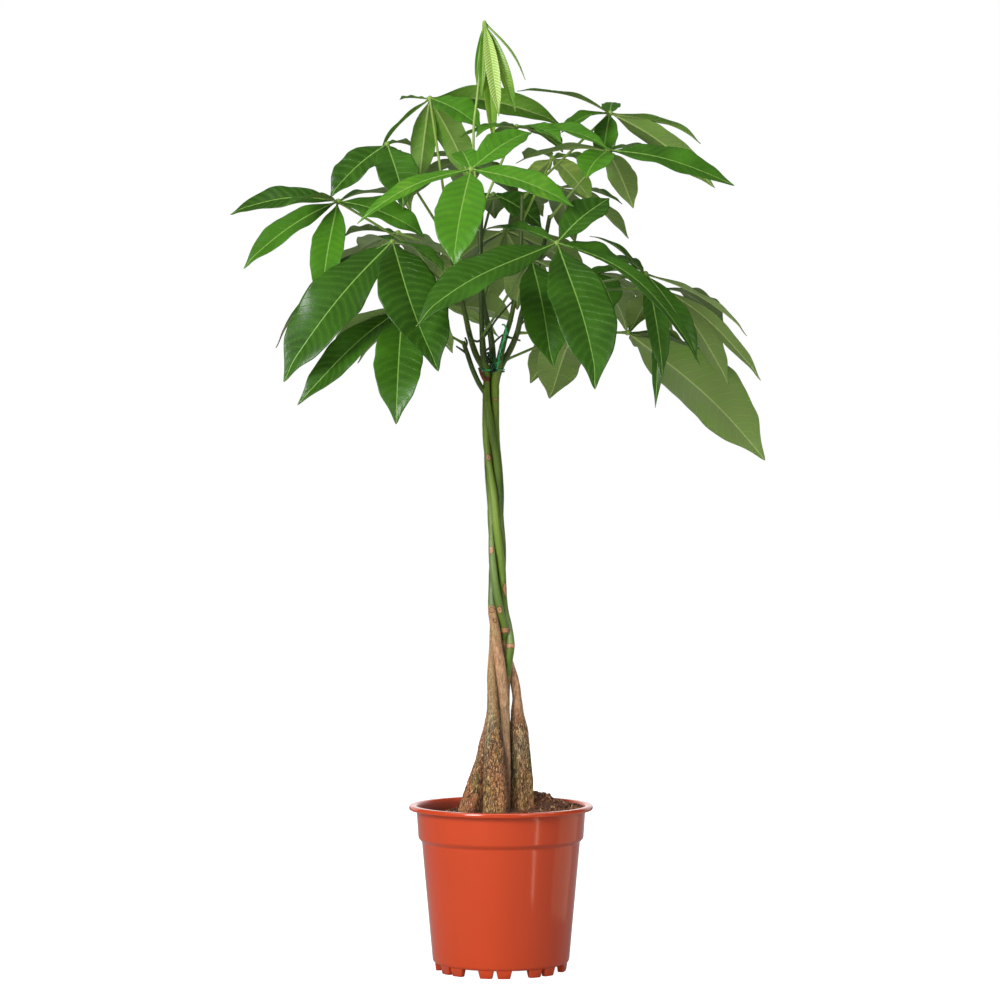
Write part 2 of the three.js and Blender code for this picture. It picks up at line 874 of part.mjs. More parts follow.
// The skin of a blade, with the same diagonals on its upper and lower faces. Each ring holds the
// upper points from one edge to the other, then the lower points in the same order.
function bladeSkin(rings, wide) {
  const faces = [];
  const quad = (a, b, c, d) => faces.push(a, b, c, a, c, d);
  const last = (rings.length - 1) * 2 * wide;
  for (let k = 0; k + 1 < wide; k++) {
    quad(k, k + wide, k + 1 + wide, k + 1);
    quad(last + k, last + k + 1, last + k + 1 + wide, last + k + wide);
  }
  for (let here = 0; here < last; here += 2 * wide) {
    const next = here + 2 * wide;
    for (let k = 0; k + 1 < wide; k++) {
      const corners = [here + k, here + k + 1, next + k + 1, next + k];
      if (2 * k + 1 >= wide) corners.push(corners.shift());
      const [a, b, c, d] = corners;
      quad(a, b, c, d);
      faces.push(a + wide, c + wide, b + wide, a + wide, d + wide, c + wide);
    }
    quad(here + wide, here, next, next + wide);
    quad(here + wide - 1, here + 2 * wide - 1, next + 2 * wide - 1, next + wide - 1);
  }
  const geometry = new THREE.BufferGeometry().setFromPoints(rings.flat());
  geometry.setIndex(faces);
  return geometry;
}

// The path of a leaf's stalk, from the middle of its stem to the hub of its leaflets
function stalkCurve(leaf) {
  const start = new THREE.Vector3(...leaf.from);
  const end = new THREE.Vector3(...leaf.hub);
  const length = start.distanceTo(end);
  const bow = new THREE.Vector3(0, 0, 0.07 * length);
  const middle = leaf.via
    ? leaf.via.map((p) => new THREE.Vector3(...p))
    : [0.35, 0.7].map((t) => start.clone().lerp(end, t).add(bow));
  return new THREE.CatmullRomCurve3([start, ...middle, end], false, "centripetal");
}

function leafSolid(leaf) {
  const hub = new THREE.Vector3(...leaf.hub);
  const spots = stalkCurve(leaf).getPoints(leaf.via ? 7 : 4);
  const radii = spots.map((_, i) => STALK_RADIUS * (i === 0 ? 1.5 : 1));
  let body = rod(spots, radii, STALK_SIDES);
  body = body.add(solid(new THREE.OctahedronGeometry(HUB_RADIUS, 0).translate(hub.x, hub.y, hub.z)));
  for (const row of leaf.leaflets) body = body.add(leaflet(row, hub));
  if (body.decompose().length > 1) throw new Error(leaf.name + " has a loose leaflet");
  for (const room of roomForStems) body = body.subtract(room);
  return largest(body);
}

add("pot", geometryOf(pot()), "pot");
let soilBody = soil();
for (const room of roomForStems) soilBody = soilBody.subtract(room);
add("soil", geometryOf(largest(soilBody)), "soil");
STEMS.forEach((stem, index) => add(stem.name, geometryOf(stemBodies[index]), "stem"));
for (const leaf of LEAVES) add(leaf.name, geometryOf(leafSolid(leaf)), "leaf");
let tieBody = wireTie();
for (const room of roomForStems) tieBody = tieBody.subtract(room);
add("wire_tie", geometryOf(largest(tieBody)), "tie");

export default group;
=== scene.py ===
"""Looks of a potted money tree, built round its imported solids.

The tables are in millimetres, as the solids were drawn: +Z up, the front of the plant faces -Y.
Everything that is made from them is in metres, in the frame of the solids. Colours are linear."""

import math

import bpy
import numpy as np
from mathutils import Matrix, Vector, noise


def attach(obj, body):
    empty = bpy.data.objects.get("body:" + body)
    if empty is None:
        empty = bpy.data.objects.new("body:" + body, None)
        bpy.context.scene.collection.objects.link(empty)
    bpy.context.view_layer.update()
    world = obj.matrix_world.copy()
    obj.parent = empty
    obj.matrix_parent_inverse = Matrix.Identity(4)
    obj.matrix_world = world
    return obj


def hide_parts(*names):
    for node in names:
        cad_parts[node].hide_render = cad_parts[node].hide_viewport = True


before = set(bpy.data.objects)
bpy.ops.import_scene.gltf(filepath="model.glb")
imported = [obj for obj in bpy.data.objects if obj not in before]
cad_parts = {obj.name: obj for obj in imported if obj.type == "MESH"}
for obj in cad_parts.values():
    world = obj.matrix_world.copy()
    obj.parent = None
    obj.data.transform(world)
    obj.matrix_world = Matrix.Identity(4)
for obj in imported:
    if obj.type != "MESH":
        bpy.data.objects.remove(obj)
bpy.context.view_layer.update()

MM = 0.001
TURN = 2 * math.pi
rng = np.random.default_rng(11)

# Sizes of the pot, the soil and the plait, the same as in the solids
LIP_RADIUS = 95
LIP_INNER_RADIUS = 88
LIP_TOP = 170
BAND_TOP = 162
BAND_BOTTOM = 136
BAND_RADIUS = 86.9
STEP_RADIUS = 85.1
BODY_TOP_RADIUS = 81.5
BODY_BOTTOM_RADIUS = 70.5
UNDERSIDE = 8
WALL = 2
FOOT_PAIRS = 8
FOOT_TURN = -5.3
FOOT_SPREAD = 8
DRAINS = 8
DRAIN_RADIUS = 5
DRAIN_RING = 48
SOIL_LEVEL = 162
SOIL_HEAP = (37, 25)
SOIL_HEAP_HEIGHT = 15
SOIL_HEAP_SPREAD = 15
SOIL_RADIUS = 84.2
PLAIT_HALF_WIDTH = 4.8
PLAIT_HALF_DEPTH = 8.6
PLAIT_STEM_RADIUS = 4
PLAIT_HEIGHTS = np.linspace(395, 608, 20)
PLAIT_MIDDLE = [(384, -3.4), (418, -4), (490, -6), (541, -9), (592, -11), (613, -9.5)]
PLAIT_TURNS = [(384, 0.4), (467, 0.2), (556, 0), (640, -0.2)]

# The pot's wall from the middle of its underside, up the outside and down the inside, as the radius,
# height and rounding of each corner
POT_PROFILE = [
    (0.01, UNDERSIDE, 0), (BODY_BOTTOM_RADIUS - 0.3, UNDERSIDE, 4),
    (BODY_TOP_RADIUS, BAND_BOTTOM - 4, 1.2), (STEP_RADIUS - 0.7, BAND_BOTTOM - 0.8, 0.8),
    (STEP_RADIUS + 0.05, BAND_BOTTOM + 0.6, 0.8), (BAND_RADIUS, BAND_TOP, 1),
    (BAND_RADIUS + 0.6, LIP_TOP - 5, 0.8), (LIP_RADIUS - 0.7, LIP_TOP - 4.8, 1.2),
    (LIP_RADIUS, LIP_TOP - 3.3, 1), (LIP_RADIUS - 0.7, LIP_TOP, 1.8), (LIP_INNER_RADIUS - 1, LIP_TOP, 2.2),
    (BAND_RADIUS - WALL + 0.3, BAND_TOP, 2), (STEP_RADIUS - WALL, BAND_BOTTOM, 1.5),
    (BODY_TOP_RADIUS - WALL, BAND_BOTTOM - 5, 1.5), (BODY_BOTTOM_RADIUS - WALL, UNDERSIDE + WALL, 2.5),
    (0.01, UNDERSIDE + WALL, 0),
]
POT_SIDES = 160
POT_SHARP = 38

# A foot from its flat bottom up: height, half its width in degrees, inner and outer radius
FOOT_RINGS = [(0, 5.0, 61.4, 67.0), (0.5, 5.4, 61.0, 67.4), (8.6, 6.9, 60.5, 68.6)]
FOOT_BEVEL = 0.8
FOOT_BEVEL_TURN = 0.9

# The soil's hidden rings, from the step in the pot's wall down, as radius and height
SOIL_UNDERSIDE = [
    (STEP_RADIUS - WALL - 0.5, BAND_BOTTOM + 1.2), (BODY_TOP_RADIUS - WALL - 0.5, BAND_BOTTOM - 5),
    (BODY_BOTTOM_RADIUS - WALL - 1, UNDERSIDE + 5), (BODY_BOTTOM_RADIUS - WALL - 3, UNDERSIDE + WALL + 0.3),
]
SOIL_RINGS = 44
SOIL_SIDES = 144
SOIL_LEFT_DROP = 4.5
CRUMBS = 2600
FIBRES = 80

# Dark, red-brown and tan crumbs: the share of them up to each kind, and the kind's lowest and highest tone
CRUMB_KINDS = [(0.42, 0, 0.3), (0.84, 0.4, 0.75), (1, 0.85, 1)]

# The stems: foot and shoot from the bottom up, as height, x, y and radius, with the plait between them,
# the height where brown bark turns to green skin, how yellow-green that is from 0 to 1, the leaf scars
# (height, the way they face in degrees or None for a ring, half height), and dry twigs and cut ends
STEMS = {
    "stem_1": {
        "flutes": 4, "bark_top": 285, "fresh": 0.4,
        "foot": [(112, -34, 5, 9), (140, -33, 5, 12.5), (164, -30, 5, 13), (179, -27, 5, 11.5),
                 (200, -21.5, 5.5, 10), (222, -16.5, 6.5, 8.3), (236, -14, 7, 7.6), (258, -9.8, 8, 6.3),
                 (285, -7.5, 9.5, 5.6), (312, -4.5, 10, 5.2), (340, -1.5, 10.5, 4.8), (365, -1, 9.5, 4.4)],
        "shoot": [(638, -18.5, -8, 3.4), (654, -19.3, -9, 2.8), (671, -20, -10, 2.5),
                  (690, -20.3, -10, 2.4), (747, -21.5, -9, 2.2), (790, -20, -8, 2)],
        "scars": [(609, None, 2.1), (500, 60, 3.4), (420, -30, 2.6)],
        "twigs": [
            [(-19, -9, 649), (-25, -10, 647), (-31, -7, 651), (-35, -5, 657)],
            [(-19, -9.5, 650), (-13, -12, 657), (-6, -13, 668), (4, -10, 680), (13, -3, 690)],
            [(-18.5, -9, 637), (-12, -13, 640), (-5, -14, 648), (2, -12, 654)],
            [(-34.5, -10.5, 634), (-40, -12, 638), (-46, -13, 642)],
            [(-36.5, -11, 640), (-35, -13, 646), (-37, -14, 651)],
        ],
    },
    "stem_2": {
        "flutes": 5, "bark_top": 302, "fresh": 0.66,
        "foot": [(112, 0, 24, 9), (140, 0, 23, 12.5), (164, 0, 21, 13.5), (200, 1, 18, 11.5),
                 (240, 2, 14, 8.5), (270, 3, 10, 6), (288, 4, 5, 5.2), (303, 5.8, 0.5, 4.6),
                 (319, 8.2, -3.5, 4.2), (334, 10, -4, 4.1), (352, 8, 0.5, 4), (370, 4, 3, 4)],
        "shoot": [(636, -26.5, 3, 3.4), (651, -31.5, 1, 3), (671, -36, -2, 2.7), (705, -44, -11, 2.5),
                  (740, -51, -16, 2.3), (773, -56, -20, 2.1)],
        "scars": [(528, -90, 3.6), (392, -50, 9), (334, None, 2.4), (450, 100, 3.4), (588, None, 1.2)],
        "twigs": [],
    },
    "stem_3": {
        "flutes": 5, "bark_top": 338, "fresh": 0.42,
        "foot": [(112, 24, 3, 9), (140, 23.5, 3, 12), (164, 22.6, 3, 12), (179, 22.4, 3, 11.3),
                 (200, 21.8, 2.5, 10.8), (222, 20.2, 2, 10.3), (236, 19.4, 2, 9.8), (250, 18.4, 2.5, 8.7),
                 (264, 17, 3, 6.9), (278, 16.6, 4, 5.1), (294, 14.6, 5.5, 4.9), (305, 12, 6.5, 4.8),
                 (319, 7.5, 6, 4.5), (334, 4, 3, 4.2), (348, 4.6, -3, 4.1), (369, -0.5, -7.8, 4)],
        "shoot": [(650, -10, 18, 3.2), (690, -18.5, 29, 2.7), (720, -21, 36, 2.5), (760, -21, 43, 2.3),
                  (798, -20, 50, 2.1)],
        "scars": [(432, -110, 4.6), (371, -95, 4.4), (350, None, 3.2), (560, 90, 3.4)],
        "twigs": [],
    },
    "stem_4": {
        "flutes": 3, "bark_top": 374, "fresh": 0.3,
        "foot": [(112, 4, -8, 5.5), (140, 4, -8, 6), (164, 4, -8, 6), (200, 4.6, -8, 5.8),
                 (222, 4.8, -8, 5.4), (236, 4.4, -8.5, 5), (258, 4.4, -8.5, 4.8), (280, 3, -9, 5),
                 (303, 0.5, -9.5, 5.4), (319, -1.4, -9.5, 5.5), (333, -3.9, -9, 5.2), (348, -5.5, -8, 5.1),
                 (370, -8.6, -5, 4.8)],
        "shoot": [(622, 0, -1.5, 3.9), (638, 9, -3, 3.6), (654, 16, -6, 3.1), (680, 22.5, -9, 2.7),
                  (710, 34, -15, 2.5), (745, 44, -22, 2.3), (775, 50, -30, 2.1)],
        "scars": [(371, -100, 3), (455, 70, 3), (360, -80, 2)],
        "twigs": [[(19.5, -7.5, 664), (25, -9, 669), (28, -10, 670)]],
    },
    "stem_5": {
        "flutes": 4, "bark_top": 346, "fresh": 0.62,
        "foot": [(112, -7, -17, 9), (140, -5.6, -16, 12.5), (164, -5, -15.5, 13.6),
                 (200, -5.6, -13.5, 12.6), (222, -6.4, -11.8, 11), (236, -6.8, -10.5, 9.6),
                 (258, -7.2, -8.5, 7.2), (280, -7.8, -6, 6.3), (303, -8.5, -3.5, 5.8),
                 (319, -8, -1.8, 5.4), (333, -7.3, 0, 5), (348, -7.3, 2, 4.6), (370, -6.5, 4.5, 4.3)],
        "shoot": [(621, -3, -9, 3.9), (651, 4, -10, 3.2), (665, 8.5, -8, 2.8), (690, 14, -1, 2.5),
                  (720, 18, 3, 2.4), (760, 21, 7, 2.2), (800, 22, 10, 2)],
        "scars": [(470, -60, 2.8), (430, 120, 3.4), (587, -90, 1.6)],
        "twigs": [[(5, -11, 652), (12, -14, 650), (20, -15, 647.6)]],
    },
}

# The stalk of each leaf, by the leaf's number, from its stem to the hub of its leaflets
STALKS = {
    1: [(-20, -8, 785), (-27, -10, 822), (-28, -12, 866), (-24, -12, 902), (-17, -10, 975)],
    2: [(-54, -18, 768), (-74, 30, 902)], 3: [(-52, -16, 746), (-117, -15, 849)],
    4: [(-46, -13, 717), (-166, -40, 788)], 5: [(-20.5, -9, 775), (-30, -100, 814)],
    6: [(-20.2, -8, 782), (16, 0, 869)], 7: [(22, 10, 796), (114, 40, 888)],
    8: [(50, -30, 772), (109, -30, 841)], 9: [(21, 8, 770), (54, 50, 842)],
    10: [(38, -19, 727), (55, -140, 737)], 11: [(-19.5, -9, 652), (30, -80, 727)],
    12: [(-42, -8, 695), (-108, -120, 740)], 13: [(-38.5, -12, 645), (-98, -110, 674)],
    14: [(28, -12, 695), (147, -45, 714)], 15: [(16, 1, 700), (167, 10, 703)],
    16: [(16, -6, 656), (133, 60, 660)], 17: [(4, -2, 628), (78, 70, 663)],
    18: [(-13.2, 22, 665), (-62, 60, 690)], 19: [(-21.1, 41.6, 752), (-8, 70, 806)],
    20: [(-21.1, 37.3, 727), (-110, 120, 770)], 21: [(-20.8, 35.3, 717), (100, 130, 728)],
    22: [(-18.5, 29, 690), (5, 140, 775)], 23: [(-20.4, 47.3, 783), (-40, 110, 850)],
    24: [(-20, 49.8, 797), (60, 130, 820)],
}

# The leaflets of each leaf: x, y and z from the hub to the tip, width and how far the upper side leans
# to the front, and for some also the arch and the bend to one side, as shares of the length
LEAFLETS = {
    1: [(-8, 8, -64, 6, 0.5), (-3, -8, -78, 8, 1.5), (15, -16, -99, 14, 2), (9, 10, -123, 14, 1),
        (32, -4, -93, 13, 1.5), (42, 10, -58, 4, 0)],
    2: [(-33, 32, 4, 16, 0, 0.03), (-53, 0, -58, 20, 0), (-12, 32, -85, 27, -0.6), (42, 40, -82, 33, -0.8),
        (53, -30, -34, 38, 0.8), (139, 45, -20, 34, -0.9, 0.1), (30, 105, -20, 28, 0)],
    3: [(-57, -32, -56, 36, 1), (20, -58, -70, 44, 0.5), (5, 85, -28, 24, 0), (20, 90, -60, 28, 0),
        (24, 32, 3, 18, 0)],
    4: [(-111, 12, -10, 30, 1.1, 0.1), (-48, -70, -10, 22, 0), (-93, -50, -70, 30, 1),
        (-13, -70, -110, 34, 0.3), (64, 60, 13, 24, 0), (90, -45, -38, 38, 0.8)],
    5: [(-112, -35, -56, 20, 0.9, 0.1), (-10, 30, 22, 29, 1), (-17, -70, -101, 50, 0.35),
        (101, -45, -40, 32, 1.1), (60, 30, 42, 34, 1), (15, 75, 5, 26, 0)],
    6: [(-60, 25, -8, 18, 0), (-42, -65, -17, 20, 0), (94, -50, -28, 30, 0.5), (46, -60, -22, 26, 0.3),
        (50, 85, -15, 26, 0), (-25, 95, -20, 26, 0)],
    7: [(-97, -45, 19, 20, 0.2), (4, 60, 20, 20, 0.3, 0.02), (-52, -60, -26, 24, 0.3),
        (-9, -30, -58, 26, 0.3), (97, 25, -27, 20, -0.1), (112, 35, -73, 32, -0.8)],
    8: [(126, -35, -39, 34, 1), (-24, -45, -32, 38, 0.5), (28, 45, -54, 29, -0.6), (60, 85, 0, 24, 0),
        (-94, -20, -13, 20, -0.2)],
    9: [(32, 35, -27, 24, -0.6), (42, 25, -42, 28, -0.6), (-26, 30, -26, 22, -0.5), (-30, 80, 10, 24, 0),
        (45, 85, 0, 26, 0)],
    10: [(54, 40, 49, 36, 1), (-139, -76, -82, 46, 1), (-73, 60, 20, 28, 0.3), (38, -85, -145, 62, 0.3),
         (141, -30, -120, 22, 0.5, 0.14), (85, 20, -37, 40, 0.5)],
    11: [(20, -45, -110, 50, 0.3), (-60, 60, -15, 34, -0.4), (70, 60, -45, 36, 0), (-15, 85, -45, 36, 0)],
    12: [(-107, -45, -138, 58, 1.3), (48, -84, -130, 66, 0.2, 0.07, 0.06), (75, 30, -22, 34, 0),
         (54, -50, -32, 26, 0), (-36, 80, 0, 30, 0), (-125, 110, -95, 34, 0.8)],
    13: [(-101, -50, -96, 34, 1.2), (-4, -75, -115, 48, 0.2), (-74, 30, -40, 29, -0.6),
         (50, 50, -40, 34, 0), (-20, 80, -20, 26, 0)],
    14: [(-56, 30, 42, 16, 0), (-40, 60, 22, 22, 0), (-62, -42, -6, 30, 0.3), (15, -55, -106, 24, 0.2),
         (52, -35, -88, 24, 0.5), (106, 20, -60, 20, 0)],
    15: [(104, 10, -93, 22, -0.5), (72, 35, -97, 34, -0.4), (-8, -20, -124, 13, 0.5), (70, 80, -30, 34, 0),
         (-30, 85, -40, 34, 0)],
    16: [(147, 35, -133, 76, -0.8), (70, 70, -40, 50, -0.5), (105, 80, -55, 40, -0.3),
         (40, 100, -20, 44, 0)],
    17: [(-25, 45, -70, 50, -0.5), (-46, 70, -52, 40, -0.6), (30, 80, -38, 40, 0), (-5, 100, -40, 40, 0)],
    18: [(75, 30, -15, 44, -0.6), (60, -5, -35, 18, -0.6), (-60, 70, -40, 40, 0), (-20, 95, -10, 42, 0),
         (-90, 20, -60, 40, 0)],
    19: [(52, 10, -33, 40, 1), (-50, 60, -20, 34, 0), (0, 95, -15, 36, 0), (55, 70, -15, 34, 0)],
    20: [(-90, 40, -60, 40, 0), (-40, 100, -50, 44, 0), (40, 85, -50, 42, 0), (60, 10, -30, 34, 0),
         (-60, 30, 0, 32, 0)],
    21: [(90, 45, -60, 40, 0), (40, 100, -55, 44, 0), (-45, 85, -50, 42, 0), (20, -40, -40, 34, 0),
         (90, -10, -30, 30, 0)],
    22: [(-80, 40, -55, 42, -0.5), (-25, 60, -88, 44, -0.5), (38, 58, -84, 44, -0.5),
         (90, 30, -50, 42, -0.5), (-12, 84, -32, 36, 0)],
    23: [(-60, 50, -40, 34, 0), (0, 90, -30, 36, 0), (60, 60, -40, 34, 0), (-50, -40, -10, 26, 0)],
    24: [(80, 40, -50, 36, 0), (20, 90, -50, 38, 0), (-50, 70, -50, 36, 0), (70, -30, -20, 28, 0)],
}

# The side shoot that leaves the first stem under the tie
SIDE_SHOOT = [(590, -13.5, -3, 2.6), (603, -22, -7, 2.7), (618, -29, -9, 2.6), (634, -34.5, -10, 2.5),
              (647, -39, -12, 2.2)]

# The dry stub of a leaf stalk on the first stem, beside that shoot
STUB = [(-16, -7.5, 607), (-19.5, -9, 612), (-23, -10, 620)]

TWIG_STEPS = 16
STEM_SIDES = 44
SWOLLEN_TO = 330

# How bright and young each leaf is, from 0 for old and dark to 1 for yellow-green
# Leaf 19 is made dark as painted shade, and leaf 9 bright as painted light on its undersides, which hang in
# shade
TONES = {
    1: 1.0, 5: 0.6, 6: 0.5, 2: 0.48, 4: 0.38, 13: 0.28, 8: 0.36, 7: 0.36, 3: 0.28, 12: 0.16, 10: 0.18,
    9: 0.8, 11: 0.12, 14: 0.16, 15: 0.12, 16: 0.32, 17: 0.3, 19: 0.02,
}
OTHER_TONE = 0.22

# Leaflets that are darker or brighter than their leaf
LEAFLET_TONES = {
    (1, 0): -0.34, (1, 1): -0.26, (1, 3): -0.24, (1, 4): -0.24, (1, 5): -0.5, (4, 0): -0.3, (4, 1): -0.2,
    (4, 3): 0.1, (3, 0): -0.1, (8, 4): -0.1, (10, 0): -0.1, (13, 0): -0.12, (8, 0): -0.08, (8, 1): 0.1,
    (11, 0): 0.04,
}

# How a blade is made, for the youngest leaf and for the others: its steps in mm and their highest number,
# the depth of its wavy outline, the gap and the sweep of its side veins, its ripple, its quilting, the
# width from which that is full, the hook of its tip, its fold, and the swelling where the blades meet
YOUNG = {
    "step": 0.9, "most_steps": 120, "frill": 0, "vein_gap": 3.1, "vein_sweep": 0.05, "ripple": 0.02,
    "quilt": 0.3, "full_width": 4, "hook": 0, "fold": 0.6, "knob": 2.2,
}
GROWN = {
    "step": 2.3, "most_steps": 84, "frill": 0.01, "vein_gap": 9.5, "vein_sweep": 0.11, "ripple": 0.12,
    "quilt": 0.72, "full_width": 34, "hook": 0.02, "fold": 0.26, "knob": 3.1,
}
YOUNGEST = 1
LEAST_STEPS = 26

# The arch of a leaflet whose row has none, and the arch below which a blade is folded less
ARCH = 0.07
FLAT_ARCH = 0.05

# The start of a blade from its hub, and its lengthwise rows of points from the midrib to the edge
BLADE_START = 1.6
HALF_ROWS = np.array([0.16, 0.36, 0.56, 0.76, 0.92, 1.0])
STALK_RADIUS = 1.5

# The wire tie: a ring round the stems, a loop in front, and a tail that ends in a hook
WIRE_RADIUS = 0.9
TIE_MIDDLE = (-10.5, -0.5, 618)
TIE_TURNS = 1.6
TIE_TURN_RISE = 2.1
TIE_LOOP = [(-8, -15.6, 615), (-9.5, -17, 621), (-13, -17.5, 628), (-12, -17.5, 634), (-8, -17.3, 633),
            (-6.5, -17, 626), (-4.5, -15.6, 616)]
TIE_TAIL = [(-5, -15.3, 616), (-2.5, -17, 626), (-0.5, -17.5, 637), (3, -17.5, 648), (5.5, -17.3, 658),
            (3.5, -17, 663.5), (0.8, -17, 664)]

POT_RED = (0.51, 0.053, 0.012)
POT_SHADE = (0.46, 0.047, 0.0105)
WHITE = (1, 1, 1)

# The upper and the lower side of a blade
BLADE_SIDES = {
    "leaf_upper": {
        "dark": (0.02, 0.062, 0.005), "bright": (0.063, 0.21, 0.01), "young": (0.4, 0.58, 0.07),
        "spread": (0.0, 0.62), "rib_colour": (0.2, 0.36, 0.07), "rib_width": 0.8, "side_share": 0.135,
        "rough": 0.25, "rough_range": 0.14,
    },
    "leaf_under": {
        "dark": (0.178, 0.265, 0.066), "bright": (0.115, 0.29, 0.02), "young": (0.36, 0.5, 0.1),
        "spread": (0.3, 0.56), "rib_colour": (0.4, 0.53, 0.16), "rib_width": 1.1, "side_share": 0.4,
        "rough": 0.5, "rough_range": 0.1,
    },
}

# Lights in metres: place, aim, size and power. The matt ones don't show in gloss.
SOFTBOXES = {
    "key": ((-1.9, -2.6, 1.7), (0, 0, 0.5), (1.1, 1.3), 112),
    "fill": ((1.7, -2.9, 1.9), (0, 0, 0.6), (0.6, 0.8), 13),
}
MATT_LIGHTS = {
    "top": ((-0.2, 0.3, 2.7), (0, 0, 0.7), (1.1, 1.1), 14),
    "low": ((-0.2, -2.4, 0.3), (0, 0, 0.45), (0.9, 0.4), 14),
    "back": ((0.4, 2.6, 1.3), (0, 0, 0.5), (1.2, 1.2), 44),
    "side": ((2.7, 0.5, 1.1), (0, 0, 0.4), (1.2, 1.2), 11),
}

# Bright cards by the pot, which show in its gloss only: place, aim, size, brightness and colour
CARDS = {
    "card_right": ((0.24, 0.018, 0.085), (0, 0.018, 0.085), (0.174, 0.17), 0.62, (1, 0.72, 0.45)),
    "card_streak": ((0.19, -0.2, 0.085), (0.03, -0.03, 0.085), (0.014, 0.17), 4.0, (1, 0.9, 0.7)),
    "card_lip": ((0, -0.26, 0.5), (0, -0.26, 0), (1.1, 0.34), 4.4, WHITE),
    "card_back": ((0, 0.42, 0.3), (0, 0, 0.22), (1.3, 0.26), 1.2, WHITE),
}
BACKDROP_LIGHT = 0.31
BACKDROP_GLOSS = 0.1
FLOOR_GREYS = ((0.29, 0.29, 0.29), (0.31, 0.31, 0.31))
FLOOR_GLOW = 0.06
FLOOR_RADIUS = 60000
FLOOR_SIDES = 96
CAMERA_PLACE = (-0.001, -3.166, 0.484)
CAMERA_LENS = 110.5
CAMERA_SENSOR = 36


def add_object(name, data):
    thing = bpy.data.objects.new(name, data)
    bpy.context.scene.collection.objects.link(thing)
    return thing


class Skin:
    """Gathers the points, faces and point values of one piece, and makes a mesh object of them."""

    def __init__(self):
        self.points = []
        self.faces = []
        self.slots = []
        self.values = {}
        self.count = 0

    def add(self, points, faces, slot=0, **values):
        """Adds points and their faces. The material slot is one for all the faces, or one for each."""
        points = np.asarray(points, float).reshape(-1, 3)
        self.points.append(points)
        for face in faces:
            self.faces.append([int(i) + self.count for i in face])
        self.slots.extend(np.broadcast_to(slot, len(faces)).tolist())
        for name in {**self.values, **values}:
            rows = self.values.setdefault(name, [np.zeros(self.count)])
            given = np.asarray(values.get(name, 0.0), float).reshape(-1)
            rows.append(np.broadcast_to(given, (len(points),)))
        self.count += len(points)

    def build(self, name, materials):
        mesh = bpy.data.meshes.new(name)
        points = np.concatenate(self.points) * MM
        mesh.from_pydata(points.tolist(), [], self.faces)
        for key, rows in self.values.items():
            store = mesh.attributes.new(key, "FLOAT", "POINT")
            store.data.foreach_set("value", np.concatenate(rows).astype(np.float32))
        for material in materials:
            mesh.materials.append(material)
        mesh.polygons.foreach_set("material_index", self.slots)
        mesh.polygons.foreach_set("use_smooth", [True] * len(mesh.polygons))
        mesh.validate()
        mesh.update()
        return add_object(name, mesh)


def dress(piece, slot, *nodes):
    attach(piece, "root")
    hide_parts(*nodes)


def unit(v):
    v = np.asarray(v, float)
    return v / np.linalg.norm(v)


def smoothstep(v, low, high):
    t = np.clip((v - low) / (high - low), 0, 1)
    return t * t * (3 - 2 * t)


def circle(radius, sides, z=0.0):
    """Points round the z axis."""
    angles = (TURN * j / sides for j in range(sides))
    return [(radius * math.cos(a), radius * math.sin(a), z) for a in angles]


def tube_faces(rings, count):
    """Quads over rings of points, with both ends closed."""
    faces = []
    for a in range(0, (rings - 1) * count, count):
        for j in range(count):
            k = (j + 1) % count
            faces.append((a + j, a + k, a + count + k, a + count + j))
    faces.append(tuple(reversed(range(count))))
    faces.append(tuple((rings - 1) * count + j for j in range(count)))
    return faces


def tube(points, radii, sides):
    """Points and faces of a round tube along a path."""
    points = np.asarray(points, float)
    n = len(points)
    radii = np.broadcast_to(np.asarray(radii, float), (n,))
    across = np.array([1.0, 0, 0])
    spots = []
    for i in range(n):
        along = unit(points[min(i + 1, n - 1)] - points[max(i - 1, 0)])
        if i == 0 and abs(along[0]) > 0.9:
            across = np.array([0, 0, 1.0])
        across = unit(across - along * across.dot(along))
        other = np.cross(along, across)
        for x, y, _ in circle(1, sides):
            spots.append(points[i] + radii[i] * (across * x + other * y))
    return spots, tube_faces(n, sides)


def curve(points, divisions):
    """Points on a centripetal Catmull-Rom curve through the given ones."""
    p = [np.asarray(v, float) for v in points]
    ends = [2 * p[0] - p[1], *p, 2 * p[-1] - p[-2]]
    out = []
    for step in range(divisions + 1):
        place = step / divisions * (len(p) - 1)
        i = min(int(place), len(p) - 2)
        w = place - i
        a, b, c, d = ends[i : i + 4]
        da, db, dc = (max(np.linalg.norm(v - u), 1e-6) ** 0.5 for u, v in ((a, b), (b, c), (c, d)))
        t1 = ((b - a) / da - (c - a) / (da + db) + (c - b) / db) * db
        t2 = ((c - b) / db - (d - b) / (db + dc) + (d - c) / dc) * db
        out.append(b + t1 * w + (3 * (c - b) - 2 * t1 - t2) * w**2 + (2 * (b - c) + t1 + t2) * w**3)
    return np.array(out)


def along_table(table, z):
    """Cubic values between the rows of a table, whose first column is the height."""
    table = np.asarray(table, float)
    zs, v = table[:, 0], table[:, 1:]
    slope = np.gradient(v, zs, axis=0)
    i = np.clip(np.searchsorted(zs, z) - 1, 0, len(zs) - 2)
    h = (zs[i + 1] - zs[i])[:, None]
    w = ((z - zs[i]) / (zs[i + 1] - zs[i]))[:, None]
    near = v[i] * (1 - 3 * w**2 + 2 * w**3) + v[i + 1] * (3 * w**2 - 2 * w**3)
    return near + slope[i] * h * (w - 2 * w**2 + w**3) + slope[i + 1] * h * (w**3 - w**2)


